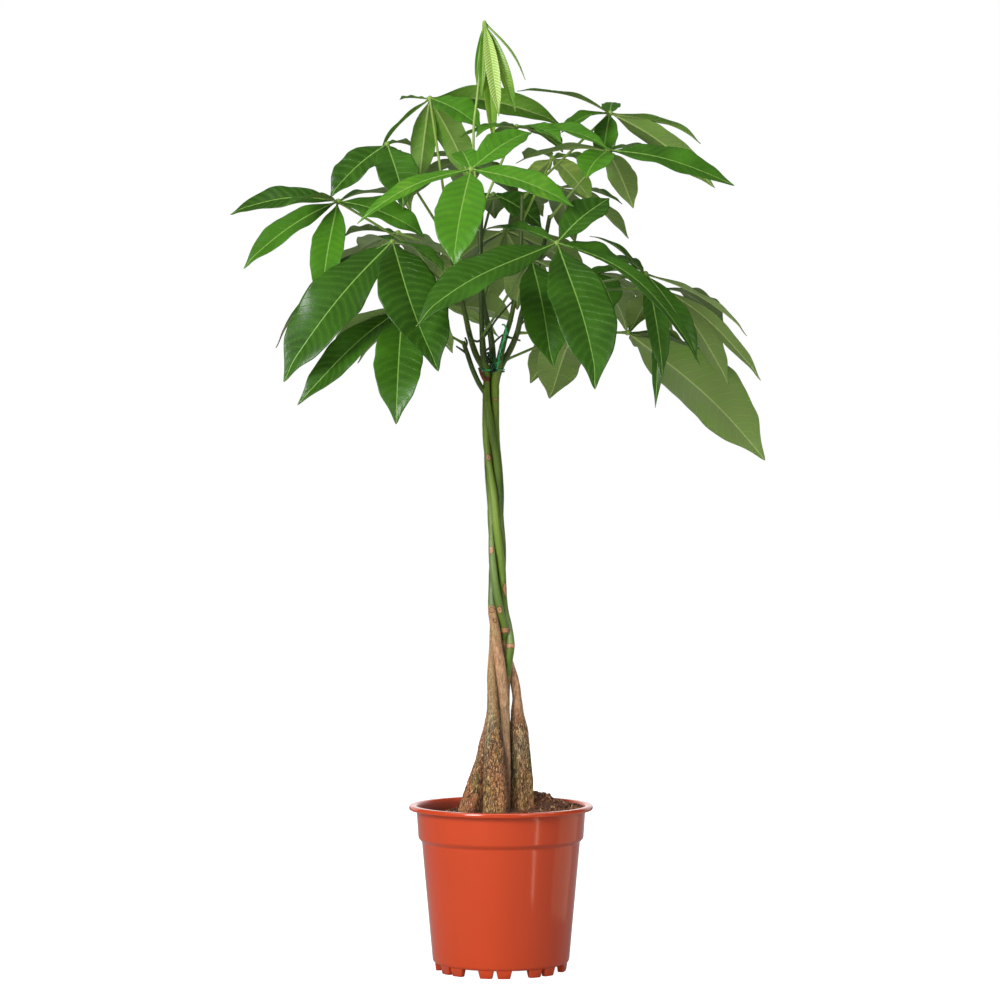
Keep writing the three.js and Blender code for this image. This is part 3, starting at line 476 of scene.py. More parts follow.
class Paint:
    """A material on one Principled shader, with short calls for its nodes."""

    def __init__(self, name, **sockets):
        self.material = bpy.data.materials.new(name)
        self.material.use_nodes = True
        self.tree = self.material.node_tree
        self.shader = self.tree.nodes["Principled BSDF"]
        self.done(**sockets)

    def done(self, **sockets):
        """Sets or joins sockets of the shader, and gives the material."""
        for key, value in sockets.items():
            self.put(self.shader, key.replace("_", " "), value)
        return self.material

    def put(self, node, key, value):
        socket = node.inputs[key]
        if isinstance(value, bpy.types.NodeSocket):
            self.tree.links.new(value, socket)
        elif hasattr(socket.default_value, "__len__") and len(socket.default_value) == 4:
            socket.default_value = (*value, 1)
        else:
            socket.default_value = value

    def node(self, kind, out=0, inputs=None, **settings):
        node = self.tree.nodes.new("ShaderNode" + kind)
        for key, value in settings.items():
            setattr(node, key, value)
        for key, value in (inputs or {}).items():
            self.put(node, key, value)
        return node.outputs[out]

    def math(self, operation, a, b=0.0, c=0.0):
        return self.node("Math", operation=operation, inputs={0: a, 1: b, 2: c})

    def times(self, value, *others):
        for other in others:
            value = self.math("MULTIPLY", value, other)
        return value

    def line(self, value, slope, start):
        """A value times a slope, plus a start."""
        return self.math("MULTIPLY_ADD", value, slope, start)

    def value(self, name):
        return self.node("Attribute", out="Fac", attribute_name=name)

    def step(self, value, low, high, to_low=0.0, to_high=1.0):
        inputs = {"Value": value, "From Min": low, "From Max": high, "To Min": to_low, "To Max": to_high}
        return self.node("MapRange", interpolation_type="SMOOTHSTEP", inputs=inputs)

    def mix(self, factor, a, b):
        return self.node("Mix", out=2, data_type="RGBA", inputs={0: factor, 6: a, 7: b})

    def coats(self, colour, *coats):
        """A colour with coats over it in turn. A coat is its share and its colour."""
        for share, coat in coats:
            colour = self.mix(share, colour, coat)
        return colour

    def place(self, scale=(1, 1, 1)):
        spot = self.node("TexCoord", out="Object")
        return self.node("Mapping", inputs={"Vector": spot, "Scale": scale})

    def noise(self, scale, detail=3.0, stretch=(1, 1, 1), roughness=0.55, distortion=0.0):
        inputs = {"Scale": scale, "Detail": detail, "Roughness": roughness, "Distortion": distortion}
        return self.node("TexNoise", inputs={"Vector": self.place(stretch), **inputs})

    def bump(self, height, strength, distance):
        return self.node("Bump", inputs={"Height": height, "Strength": strength, "Distance": distance})


def pot_paint():
    """Red plastic, with painted shade on its lining, which is darker still near the soil."""
    p = Paint("pot_plastic", IOR=1.45)
    cloud = p.step(p.noise(9, 4, (1, 1, 0.35)), 0.3, 0.7)
    spot = p.node("SeparateXYZ", inputs={0: p.place()})
    height = spot.node.outputs[2]
    out = p.math("SQRT", p.math("ADD", p.math("POWER", spot, 2), p.math("POWER", spot.node.outputs[1], 2)))
    # The wall's two sides differ in radius, once its slope is taken off
    level = p.line(height, -0.0731, out)
    inside = p.times(p.step(level, 0.0738, 0.0746, 1, 0), p.step(height, 0.1375, 0.1385))
    # Painted shade: the inside of the wall is a darker red, and darker again towards the soil
    darker_near_soil = p.step(p.line(p.noise(170, 4), -0.012, height), 0.146, 0.162, 0.9, 0)
    painted_shade_lining = p.mix(darker_near_soil, (0.27, 0.031, 0.01), (0.07, 0.022, 0.01))
    scuffs = p.step(p.noise(240, 2), 0.62, 0.8)
    dull = p.line(scuffs, 0.05, p.line(inside, 0.4, 0.12))
    return p.done(
        Base_Color=p.mix(inside, p.mix(cloud, POT_RED, POT_SHADE), painted_shade_lining),
        Roughness=p.line(p.noise(60, 3, (1, 1, 0.06)), 0.06, dull),
        Normal=p.bump(p.noise(14, 1, (1, 1, 0.25)), 0.1, 0.0006),
    )


def soil_paint():
    p = Paint("potting_mix", Roughness=0.95)
    tone = p.value("tone")
    grain = p.noise(520, 4)
    dark = p.mix(p.step(grain, 0.35, 0.7), (0.026, 0.009, 0.004), (0.1, 0.036, 0.014))
    red = p.mix(p.step(grain, 0.3, 0.7), (0.1, 0.033, 0.012), (0.27, 0.1, 0.037))
    tan = p.mix(p.step(grain, 0.3, 0.7), (0.26, 0.13, 0.06), (0.5, 0.3, 0.14))
    colour = p.coats(dark, (p.step(tone, 0.25, 0.6), red), (p.step(tone, 0.75, 0.95), tan))
    return p.done(Base_Color=colour, Normal=p.bump(grain, 0.8, 0.0012))


def stem_paint():
    """Green skin above and flecked, cracked bark below, with leaf scars, painted shade in the grooves between
    the stems and on the shoots under the leaves, and a pale film that is partly painted sheen.
    """
    p = Paint("stem_bark", IOR=1.45)
    fresh, stout, scar = p.value("fresh"), p.value("stout"), p.value("scar")
    level = p.node("SeparateXYZ", out=2, inputs={0: p.place()})
    fine = p.noise(420, 4, (1, 1, 0.3), 0.65)
    broad = p.noise(38, 4, (1, 1, 0.35), 0.6)
    flecks = p.noise(1050, 3, (1, 1, 0.3), 0.65)
    cracks = p.noise(760, 3, (1, 1, 0.24), 0.7, 1.0)
    cracks = p.times(p.step(cracks, 0.49, 0.44, 0, 0.95), p.step(stout, 0, 1, 0.2, 1))

    ripe = p.line(broad, 1.2, p.math("SUBTRACT", fresh, 0.6))
    streaks = p.noise(130, 3, (1, 1, 0.05), 0.6)
    green = p.coats(
        p.mix(p.step(ripe, 0.1, 0.9), (0.05, 0.1, 0.012), (0.17, 0.27, 0.022)),
        (p.step(streaks, 0.55, 0.72, 0, 0.5), (0.22, 0.29, 0.07)),
        (p.step(flecks, 0.64, 0.7, 0, 0.6), (0.5, 0.55, 0.28)),
        # Painted shade: the green is darker above 614 mm, where the shoots stand under the leaves
        (p.step(level, 0.614, 0.634, 0, 0.7), (0.022, 0.038, 0.01)),
        (p.step(level, 0.47, 0.4, 0, 0.42), (0.05, 0.1, 0.012)),
    )

    slim = p.mix(p.step(fine, 0.34, 0.64), (0.31, 0.145, 0.068), (0.56, 0.31, 0.165))
    brown = p.mix(p.step(fine, 0.38, 0.62), (0.16, 0.053, 0.017), (0.43, 0.19, 0.068))
    brown = p.mix(p.step(level, 0.215, 0.178, 0, 0.6), brown, (0.48, 0.2, 0.06))
    moss = p.line(fresh, 0.3, broad)
    ruddy = p.step(p.noise(52, 3, (1, 1, 0.4)), 0.5, 0.62, 0, 0.6)
    algae = p.step(p.noise(70, 3, (1, 1, 0.16)), 0.51, 0.6)
    # A pale grey-green film on the stout feet, partly their own colour and partly a painted sheen
    film_and_painted_sheen = p.step(p.noise(85, 2, (1, 1, 0.035)), 0.48, 0.6)
    film_and_painted_sheen = p.times(film_and_painted_sheen, p.step(level, 0.195, 0.24, 0, 0.72), p.step(stout, 0, 0.3, 0.25, 1))
    tan = p.coats(
        p.mix(stout, slim, brown),
        (p.step(moss, 0.58, 0.76, 0, 0.5), (0.18, 0.16, 0.035)),
        (p.times(ruddy, stout), (0.3, 0.08, 0.035)),
        (p.times(algae, stout, p.step(level, 0.17, 0.2, 0, 0.66)), (0.115, 0.17, 0.024)),
        (film_and_painted_sheen, (0.27, 0.25, 0.135)),
        (p.step(flecks, 0.56, 0.61, 0, p.step(stout, 0, 1, 0.42, 0.9)), (0.88, 0.58, 0.29)),
        (cracks, (0.055, 0.02, 0.01)),
        (p.times(p.value("pit"), 0.55), (0.06, 0.026, 0.01)),
    )

    edge = p.math("ADD", p.value("bark"), p.line(broad, 0.7, -0.35))
    ragged = p.math("ADD", fine, p.math("SUBTRACT", scar, 0.5))
    healed = p.mix(fine, (0.3, 0.13, 0.05), (0.52, 0.29, 0.14))
    # Painted shade in the grooves between the stems, wider on the swollen feet
    groove = p.times(p.value("groove"), p.step(edge, 0.35, 0.65, 0.85, 0.6))
    colour = p.coats(
        p.mix(p.step(edge, 0.35, 0.65), green, tan),
        (p.step(ragged, 0.28, 0.4), (0.1, 0.035, 0.015)),
        (p.step(ragged, 0.44, 0.58), p.mix(p.step(level, 0.598, 0.604), healed, (0.17, 0.042, 0.02))),
        (p.step(ragged, 0.84, 1.0), (0.15, 0.045, 0.018)),
        (groove, p.mix(edge, (0.008, 0.012, 0.003), (0.03, 0.014, 0.006))),
    )
    relief = p.math("SUBTRACT", fine, cracks)
    relief = p.line(relief, p.step(edge, 0.3, 0.7, 0.08, 0.8), p.times(flecks, 0.25))
    rough = p.step(edge, 0.3, 0.7, 0.36, 0.85)
    return p.done(Base_Color=colour, Roughness=rough, Normal=p.bump(relief, 1.0, 0.0016))


def vein_masks(p, width, tender):
    """Masks of the midrib and the side veins, and the distance to the middle between side veins."""
    rib = p.line(p.value("along"), -0.55 * width, width)
    rib = p.step(p.math("DIVIDE", p.math("ABSOLUTE", p.value("aside")), rib), 0.75, 1.25, 1, 0)
    wander = p.times(p.math("SUBTRACT", p.noise(60, 3), 0.5), tender(0.9, 0.3))
    phase = p.math("FRACT", p.math("ADD", p.value("vein"), wander))
    off = p.math("ABSOLUTE", p.math("SUBTRACT", phase, 0.5))
    return rib, p.step(off, tender(0.455, 0.24), 0.5), off


def blade_paint(name, dark, bright, young, spread, rib_colour, rib_width, side_share, rough, rough_range):
    """One side of a blade. Its tone runs from dark to bright, and to young in the youngest leaf."""
    p = Paint(name, IOR=1.42, Specular_IOR_Level=0.42)
    tone = p.value("tone")

    def tender(grown=0.0, youngest=1.0):
        return p.step(tone, 0.84, 0.94, grown, youngest)

    rib, side, off = vein_masks(p, rib_width, tender)
    cloud = p.noise(26, 4)
    share = p.math("ADD", tone, p.line(cloud, 0.6, -0.3))
    near_hub = p.step(p.line(cloud, 0.3, p.value("along")), 0.1, 0.62, 0.5, 0)
    colour = p.coats(
        p.mix(p.step(share, *spread), dark, bright),
        (p.step(share, 0.62, 1.0), young),
        # Painted shade of the quilting: near the side veins the tone is pulled to the middle of dark and
        # bright
        (p.step(off, 0.0, 0.5, 0, 0.42), p.mix(0.5, dark, bright)),
        (p.times(near_hub, p.step(tone, 0.6, 0.3)), dark),
        # Painted shade on the youngest leaf, darker in the middles between its side veins
        (p.times(tender(), p.step(off, 0.3, 0.1, 0, 0.5)), (0.12, 0.27, 0.02)),
        # On the youngest leaf the side veins are near white: pale veins with a painted sheen
        (p.times(side, tender(side_share, 0.85)), p.mix(tender(), rib_colour, (0.68, 0.78, 0.45))),
        (p.times(rib, 0.85), rib_colour),
    )
    rough = p.line(cloud, rough_range, rough)
    height = p.line(side, -0.45, p.times(p.noise(420, 2), 0.35))
    return p.done(Base_Color=colour, Roughness=rough, Normal=p.bump(height, 0.85, 0.0005))


def stalk_paint():
    p = Paint("leaf_stalk", IOR=1.45)
    cloud = p.noise(70, 3, (1, 1, 0.4))
    share = p.math("ADD", p.value("tone"), p.line(cloud, 0.3, -0.15))
    return p.done(
        Base_Color=p.mix(p.step(share, 0.1, 0.8), (0.045, 0.1, 0.016), (0.24, 0.37, 0.07)),
        Roughness=p.line(cloud, 0.15, 0.32),
        Normal=p.bump(p.noise(500, 2, (1, 1, 0.2)), 0.3, 0.0004),
    )


def tie_paint():
    p = Paint("tie_plastic", IOR=1.5)
    # The bright value is painted light and shade: lit parts of the wire are a brighter green, shaded ones
    # darker
    shade = p.step(p.line(p.noise(110, 1), 0.7, p.value("bright")), 0.3, 0.9)
    return p.done(
        Base_Color=p.mix(shade, (0.004, 0.028, 0.013), (0.045, 0.4, 0.13)),
        Roughness=p.line(p.noise(120, 3), 0.15, 0.18),
    )


# The pot: one turned wall with rounded corners and drain holes, on feet in pairs


def rounded(corners, steps=5):
    """A profile with its corners rounded, by no more than 0.45 of the sides that meet there."""
    out = []
    for i, (r, z, bend) in enumerate(corners):
        here = np.array([r, z], float)
        if bend == 0:
            out.append(here)
            continue
        before = np.array(corners[i - 1][:2], float) - here
        after = np.array(corners[i + 1][:2], float) - here
        start = here + unit(before) * min(bend, np.linalg.norm(before) * 0.45)
        end = here + unit(after) * min(bend, np.linalg.norm(after) * 0.45)
        for w in np.arange(steps + 1) / steps:
            out.append(start * (1 - w) ** 2 + here * 2 * w * (1 - w) + end * w**2)
    return out


def foot_points(degrees):
    """A foot's rings of eight corners, from its flat bottom up into the pot's underside."""
    spots = []
    for z, half, inner, outer in FOOT_RINGS:
        near, far, turn = inner + FOOT_BEVEL, outer - FOOT_BEVEL, half - FOOT_BEVEL_TURN
        for r, side in (
            (inner, -turn), (near, -half), (far, -half), (outer, -turn),
            (outer, turn), (far, half), (near, half), (inner, turn),
        ):
            angle = math.radians(degrees + side)
            spots.append((r * math.cos(angle), r * math.sin(angle), z))
    return spots


def make_pot():
    skin = Skin()
    profile = rounded(POT_PROFILE)
    skin.add([circle(r, POT_SIDES, z) for r, z in profile], tube_faces(len(profile), POT_SIDES))
    for pair in range(FOOT_PAIRS):
        for side in (-FOOT_SPREAD, FOOT_SPREAD):
            points = foot_points(-90 + FOOT_TURN + pair * 360 / FOOT_PAIRS + side)
            skin.add(points, tube_faces(len(FOOT_RINGS), 8))
    pot = skin.build("pot_body", [pot_paint()])
    cutter = Skin()
    for x, y, _ in circle(DRAIN_RING, DRAINS):
        cutter.add(*tube([(x, y, UNDERSIDE - 3), (x, y, UNDERSIDE + WALL + 3)], DRAIN_RADIUS, 32))
    tool = cutter.build("drain_cutter", [])
    cut = pot.modifiers.new("drains", "BOOLEAN")
    cut.operation = "DIFFERENCE"
    cut.solver = "EXACT"
    cut.object = tool
    evaluated = pot.evaluated_get(bpy.context.evaluated_depsgraph_get())
    drilled = bpy.data.meshes.new_from_object(evaluated)
    pot.modifiers.clear()
    pot.data = drilled
    bpy.data.objects.remove(tool)
    drilled.set_sharp_from_angle(angle=math.radians(POT_SHARP))
    dress(pot, "pot", "pot")


# The potting mix: a heaped top with crumbs and fibres


def soil_height(x, y):
    away = np.hypot(x - SOIL_HEAP[0], y - SOIL_HEAP[1]) / SOIL_HEAP_SPREAD
    heap = SOIL_HEAP_HEIGHT * np.exp(-away * away / 2)
    lumps = 1.3 * np.sin(x * 0.21 + 1) * np.cos(y * 0.17) + 0.9 * np.sin(y * 0.33 + x * 0.11)
    hollow = SOIL_LEFT_DROP * smoothstep(x, -24, -52)
    return float(SOIL_LEVEL + heap - hollow + 0.045 * x + 0.03 * y + lumps)


def crumb(skin, middle, size, tone):
    """One crumb: two rings of five points and two poles, pinched at random."""
    axes = np.linalg.qr(rng.normal(size=(3, 3)))[0]
    spots = [np.array([0, 0, -0.8])]
    for level, girth, start in ((-0.45, 0.8, 0), (0.3, 0.95, 0.5)):
        for j in range(5):
            angle = TURN * (j + start) / 5
            spots.append(np.array([math.cos(angle) * girth, math.sin(angle) * girth, level]))
    spots.append(np.array([0, 0, 0.8]))
    shape = np.array(spots) * rng.uniform(0.75, 1.25, (12, 1)) * size * rng.uniform(0.6, 1.3, 3)
    ring = [(j, (j + 1) % 5) for j in range(5)]
    faces = [(0, 1 + k, 1 + j) for j, k in ring] + [(11, 6 + j, 6 + k) for j, k in ring]
    for j, k in ring:
        faces += [(1 + j, 1 + k, 6 + j), (1 + k, 6 + k, 6 + j)]
    skin.add(shape @ axes.T + middle, faces, tone=tone)


def add_crumbs(skin):
    for _ in range(CRUMBS):
        r = SOIL_RADIUS * math.sqrt(rng.uniform(0.02, 0.97))
        angle = rng.uniform(0, TURN)
        size = float(np.clip(rng.lognormal(0.1, 0.45), 0.5, 2.9))
        x, y = r * math.cos(angle), r * math.sin(angle)
        if math.hypot(x, y) + size > SOIL_RADIUS:
            continue
        kind = rng.uniform()
        tone = rng.uniform(*next(tones for limit, *tones in CRUMB_KINDS if kind < limit))
        crumb(skin, np.array([x, y, soil_height(x, y) + size * 0.35]), size, tone)


def add_fibres(skin):
    for _ in range(FIBRES):
        r = rng.uniform(26, 76)
        angle = rng.uniform(0, TURN)
        turn = rng.uniform(0, TURN)
        length = rng.uniform(5, 16)
        path = []
        for w in np.linspace(0, 1, 6):
            x = r * math.cos(angle) + length * (w - 0.5) * math.cos(turn + w)
            y = r * math.sin(angle) + length * (w - 0.5) * math.sin(turn + w)
            path.append((x, y, soil_height(x, y) + 1.0 + 1.3 * math.sin(math.pi * w)))
        if max(math.hypot(x, y) for x, y, _ in path) < SOIL_RADIUS - 1:
            points, faces = tube(path, rng.uniform(0.2, 0.5), 5)
            skin.add(points, faces, tone=rng.uniform(0.3, 0.9))


def make_soil():
    skin = Skin()
    radii = np.concatenate([[0.5], np.linspace(3, SOIL_RADIUS, SOIL_RINGS)])
    spots = []
    for r in radii:
        loose = float(smoothstep(SOIL_RADIUS + 1 - r, 0, 6))
        for x, y, _ in circle(r, SOIL_SIDES):
            rough = noise.fractal(Vector((x, y, 0)) * 0.12, 0.7, 2.1, 4) * 1.6
            rough += noise.noise(Vector((x, y, 9)) * 0.5) * 0.9
            spots.append((x, y, soil_height(x, y) + rough * loose))
    for r, z in SOIL_UNDERSIDE:
        spots += circle(r, SOIL_SIDES, z)
    faces = [tuple(reversed(f)) for f in tube_faces(len(radii) + len(SOIL_UNDERSIDE), SOIL_SIDES)]
    skin.add(spots, faces, tone=[0.3 + 0.25 * noise.noise(Vector(s) * 0.09) for s in spots])
    add_crumbs(skin)
    add_fibres(skin)
    dress(skin.build("potting_mix", [soil_paint()]), "soil", "soil")


# The stems


def between(table, z):
    rows = np.asarray(table, float)
    return np.interp(z, rows[:, 0], rows[:, 1])


def plait_row(strand, z):
    """A point of a plaited strand: the strands chase each other round an ellipse."""
    turn = between(PLAIT_TURNS, z) - strand / len(STEMS)
    angle = TURN * turn + 0.34 * math.sin(2 * TURN * turn)
    sway = 0.8 * math.sin(0.062 * z + 2.1 * strand)
    x = between(PLAIT_MIDDLE, z) + PLAIT_HALF_WIDTH * math.sin(angle) + sway
    radius = PLAIT_STEM_RADIUS + 0.15 * math.sin(0.09 * z + strand)
    return (z, x, -PLAIT_HALF_DEPTH * math.cos(angle), radius)


def stem_table(index):
    stem = list(STEMS.values())[index]
    return stem["foot"] + [plait_row(index, z) for z in PLAIT_HEIGHTS] + stem["shoot"]


def groove_share(index, points):
    """How near each point of a stem is to a neighbour's skin, from 0 to 1: the share of painted shade in the
    groove there.
    """
    flat = points.reshape(-1, 3)
    gap = np.full(len(flat), 50.0)
    for other in range(len(STEMS)):
        table = stem_table(other)
        if other != index:
            x, y, radius = along_table(table, flat[:, 2].clip(table[0][0], table[-1][0])).T
            gap = np.minimum(gap, np.hypot(flat[:, 0] - x, flat[:, 1] - y) - radius)
    reach = 1.6 + 3.4 * smoothstep(flat[:, 2], SWOLLEN_TO, 200)
    return np.exp(-((gap.clip(0) / reach) ** 1.5)).reshape(points.shape[:2])


def bark_relief(index, z, radius, angle):
    """Lumps and pits of a stem's bark, over its rings and sides."""
    lumps = np.zeros((len(z), len(angle)))
    pits = np.zeros_like(lumps)
    for i, j in np.ndindex(lumps.shape):
        x, y = math.cos(angle[j]) * radius[i], math.sin(angle[j]) * radius[i]
        lumps[i, j] = noise.fractal(
            Vector((x, y, z[i] * 0.16)) * 0.42 + Vector((index * 7.3, 0, 0)), 0.8, 2.1, 4
        )
        fissure = noise.noise(Vector((x, y, z[i] * 0.1)) * 1.3 + Vector((0, index * 5.1, 0)))
        pits[i, j] = max(0.0, 1 - abs(fissure) / 0.1)
    return lumps, pits


def scar_share(scars, zz, aa):
    """How much each point of a stem belongs to a leaf scar, from 0 to 1."""
    scar = np.zeros_like(zz)
    for height, facing, half in scars:
        mark = np.exp(-(((zz - height) / half) ** 2) * 1.4)
        if facing is not None:
            turn = np.abs((np.degrees(aa) - facing + 180) % 360 - 180)
            mark = mark * np.exp(-((turn / 42) ** 2))
        scar = np.maximum(scar, mark)
    return scar


def add_side_shoot(skin):
    """The side shoot and the stub of the first stem."""
    path = curve([(x, y, z) for z, x, y, _ in SIDE_SHOOT], 30)
    widths = np.interp(path[:, 2], [row[0] for row in SIDE_SHOOT], [row[3] for row in SIDE_SHOOT])
    skin.add(*tube(path, widths, 20))
    skin.add(*tube(curve(STUB, 8), np.linspace(2.5, 0.9, 9), 16), scar=0.85)


def make_stem(index, name, stem, paint):
    rows = stem_table(index)
    low, high = rows[0][0], rows[-1][0]
    lower = [np.arange(low, 160, 8), np.arange(160, SWOLLEN_TO, 1.6)]
    z = np.concatenate([*lower, np.arange(SWOLLEN_TO, high, 2.6), [high]])
    x, y, radius = along_table(rows, z).T
    angle = TURN * np.arange(STEM_SIDES) / STEM_SIDES
    zz, aa = np.meshgrid(z, angle, indexing="ij")
    fluting = 0.09 * np.clip((260 - zz) / 80, 0, 1)
    size = radius[:, None] * (1 + fluting * np.cos(stem["flutes"] * aa + index))
    swollen = smoothstep(zz, SWOLLEN_TO, 215)
    lumps, pits = bark_relief(index, z, radius, angle)
    scar = scar_share(stem["scars"], zz, aa)
    ridges = np.maximum(0, np.sin(zz * 0.19 + index * 2 + 0.4 * np.sin(aa + index))) ** 12
    size = size + swollen * (0.75 * lumps - 0.55 * pits) + 0.32 * scar
    size = size + (1 - swollen) * (0.12 * lumps + 0.1 * ridges)
    points = np.stack([x[:, None] + size * np.cos(aa), y[:, None] + size * np.sin(aa), zz], axis=2)
    top = stem["bark_top"]
    skin = Skin()
    skin.add(
        points, tube_faces(len(z), STEM_SIDES), bark=smoothstep(zz, top + 12, top - 12), scar=scar,
        fresh=stem["fresh"], pit=pits * swollen, groove=groove_share(index, points),
        stout=np.repeat(smoothstep(radius, 5.6, 9), STEM_SIDES),
    )
    if index == 0:
        add_side_shoot(skin)
    for twig in stem["twigs"]:
        skin.add(*tube(curve(twig, TWIG_STEPS), np.linspace(1.4, 0.9, TWIG_STEPS + 1), 12))
    dress(skin.build(name + "_grown", [paint]), "stem", name)


# The leaves


def width_share(t):
    """Share of a leaflet's width at a share of its length."""
    body = np.sin(np.pi * np.minimum(t, 1) ** 1.08).clip(0) ** 0.75
    taper = np.sqrt(smoothstep(t, 0, 0.22))
    return body * taper * (1 - 0.4 * smoothstep(t, 0.8, 0.97))


def blade_faces(rows, cols):
    """Faces of the upper side, of the lower side, whose points come second, and of the rim."""
    count = rows * cols
    upper, lower, rim = [], [], []
    last = (rows - 1) * cols
    for a in range(0, last, cols):
        for j in range(a, a + cols - 1):
            upper.append((j, j + 1, j + 1 + cols, j + cols))
            lower.append((j + count, j + cols + count, j + 1 + cols + count, j + 1 + count))
        b = a + cols - 1
        rim.append((a, a + cols, a + cols + count, a + count))
        rim.append((b, b + count, b + cols + count, b + cols))
    for j in range(cols - 1):
        rim.append((j, j + count, j + 1 + count, j + 1))
        rim.append((last + j, last + j + 1, last + j + 1 + count, last + j + count))
    return upper, lower, rim


def add_leaflet(skin, hub, row, tone, kind):
    """One blade, drawn over a grid of tt along it and ss across it."""
    dx, dy, dz, width, front, arch, bend = (*row, *(ARCH, 0.0)[len(row) - 5 :])
    direction = np.array([dx, dy, dz], float)
    length = np.linalg.norm(direction)
    along = direction / length
    up = np.array([0, -front, 1.0])
    up = unit(up - along * up.dot(along))
    across = np.cross(along, up)
    steps = int(np.clip(round(length / kind["step"]), LEAST_STEPS, kind["most_steps"]))
    first = BLADE_START / length
    inner = min(1.0 / (width / 2), 0.3)
    half_row = np.array([inner, *(inner + (1 - inner) * HALF_ROWS)])
    t = first + (1 - first) * np.linspace(0, 1, steps + 1)
    tt, ss = np.meshgrid(t, np.concatenate([-half_row[::-1], [0], half_row]), indexing="ij")
    tip = smoothstep(tt, 0.8, 1.0)
    base = smoothstep(tt, 0.1, 0.0)
    hump = np.sin(np.pi * tt)
    edge = np.abs(ss)
    side = np.where(ss < 0, -1, 1)

    phase = rng.uniform(0, TURN, 2)
    waves = 1.8 * np.sin(27 * tt + 1.7 * side + phase[0]) + 1.1 * np.sin(49 * tt + 2.9 * side + phase[1])
    half = width / 2 * width_share(tt) * (1 + kind["frill"] * waves * hump)
    half = np.maximum(half, 1.0 - 0.8 * tip)
    aside = half * ss

    pairs = max(5, round(length / kind["vein_gap"]))
    vein = pairs * (tt - kind["vein_sweep"] * edge**1.3) + 0.5 * (ss < 0)
    bulge = (1 - np.cos(TURN * vein)) / 2 * np.sin(np.pi * np.clip(edge, 0, 1)) ** 0.7
    quilt = kind["quilt"] * min(width / kind["full_width"], 1) * bulge
    ripple = np.sin(TURN * rng.uniform(1.6, 3.2) * tt + np.where(side < 0, phase[0], phase[1]))
    ripple = ripple * half * kind["ripple"] * edge**2.2 * hump
    sway = rng.uniform(-0.012, 0.012) * length * np.sin(TURN * tt)
    hook = kind["hook"] * length * smoothstep(tt, 0.84, 1.0) ** 1.5
    fold = kind["fold"] * min(arch / FLAT_ARCH, 1) * edge * (1.35 - 0.35 * edge)
    lift = arch * length * hump - hook + half * fold + ripple + quilt + sway
    drift = aside + bend * length * hump + hook * np.sin(phase[0])

    middle = np.exp(-((aside / 1.0) ** 2))
    upper = along * (length * tt)[..., None] + across * drift[..., None]
    upper = upper + up * (lift + (0.25 + 0.7 * base) * middle)[..., None]
    thick = 0.4 + (0.75 * (1 - tt) ** 0.8 + 0.8 * base) * middle + 0.35 * (1 - tip) * (1 - edge)
    lower = upper - up * thick[..., None]
    sides = blade_faces(*tt.shape)
    skin.add(
        np.stack([upper, lower]) + hub, sum(sides, []), np.repeat([0, 1, 0], [len(faces) for faces in sides]),
        along=np.stack([tt, tt]), aside=np.stack([aside, aside]), vein=np.stack([vein, vein]), tone=tone,
    )


def add_knob(skin, middle, radius, tone):
    """A small round swelling, where the leaflets meet their stalk."""
    spots = []
    for i in range(7):
        level = math.pi * (i + 0.25) / 6.5
        spots += circle(math.sin(level) * radius, 12, -radius * math.cos(level))
    skin.add(middle + np.array(spots), tube_faces(7, 12), slot=2, tone=tone)


def make_leaf(number, paints):
    name = f"leaf_{number:02d}"
    tone = TONES.get(number, OTHER_TONE)
    kind = YOUNG if number == YOUNGEST else GROWN
    skin = Skin()
    path = curve(STALKS[number], 48)
    t = np.linspace(0, 1, len(path))
    radii = STALK_RADIUS * (0.92 + 0.5 * np.exp(-((t / 0.05) ** 2)) + 0.45 * np.exp(-(((1 - t) / 0.04) ** 2)))
    points, faces = tube(path, radii, 12)
    skin.add(points, faces, slot=2, tone=0.3 + 0.6 * tone)
    hub = np.array(STALKS[number][-1], float)
    add_knob(skin, hub, kind["knob"], 0.45 + 0.5 * tone)
    for place, row in enumerate(LEAFLETS[number]):
        shade = tone + LEAFLET_TONES.get((number, place), 0)
        chance = rng.uniform(-0.06, 0.06)
        if number != YOUNGEST:
            shade = float(np.clip(shade + chance, 0, 1))
        add_leaflet(skin, hub, row, shade, kind)
    dress(skin.build(name + "_blades", paints), "leaf", name)


# The wire tie


def tie_ring(turns, steps):
    """The path of the wire round the stems, close to their skins, in rising turns."""
    height = float(TIE_MIDDLE[2])
    stems = np.array([along_table(stem_table(i), np.array([height]))[0] for i in range(len(STEMS))])
    ways = np.array(circle(1, steps))[:, :2]
    reach = (ways @ (stems[:, :2] - TIE_MIDDLE[:2]).T + stems[:, 2]).max(axis=1)
    path = []
    for i in range(round(turns * steps)):
        angle = TURN * i / steps
        here, after = reach[i % steps], reach[(i + 1) % steps]
        slope = (after - here) * steps / TURN
        out = here + WIRE_RADIUS
        x = out * math.cos(angle) - slope * math.sin(angle)
        y = out * math.sin(angle) + slope * math.cos(angle)
        rise = TIE_TURN_RISE * (i / steps - turns / 2)
        path.append((TIE_MIDDLE[0] + x, TIE_MIDDLE[1] + y, height + rise))
    return np.array(path)


def wound(path, radius, turns):
    """A helix round a path."""
    out = []
    for i, spot in enumerate(path):
        along = unit(path[min(i + 1, len(path) - 1)] - path[max(i - 1, 0)])
        across = unit(np.cross(along, (0.0, 1.0, 0.0)))
        other = np.cross(along, across)
        angle = TURN * turns * i / len(path)
        out.append(spot + radius * (across * math.cos(angle) + other * math.sin(angle)))
    return np.array(out)


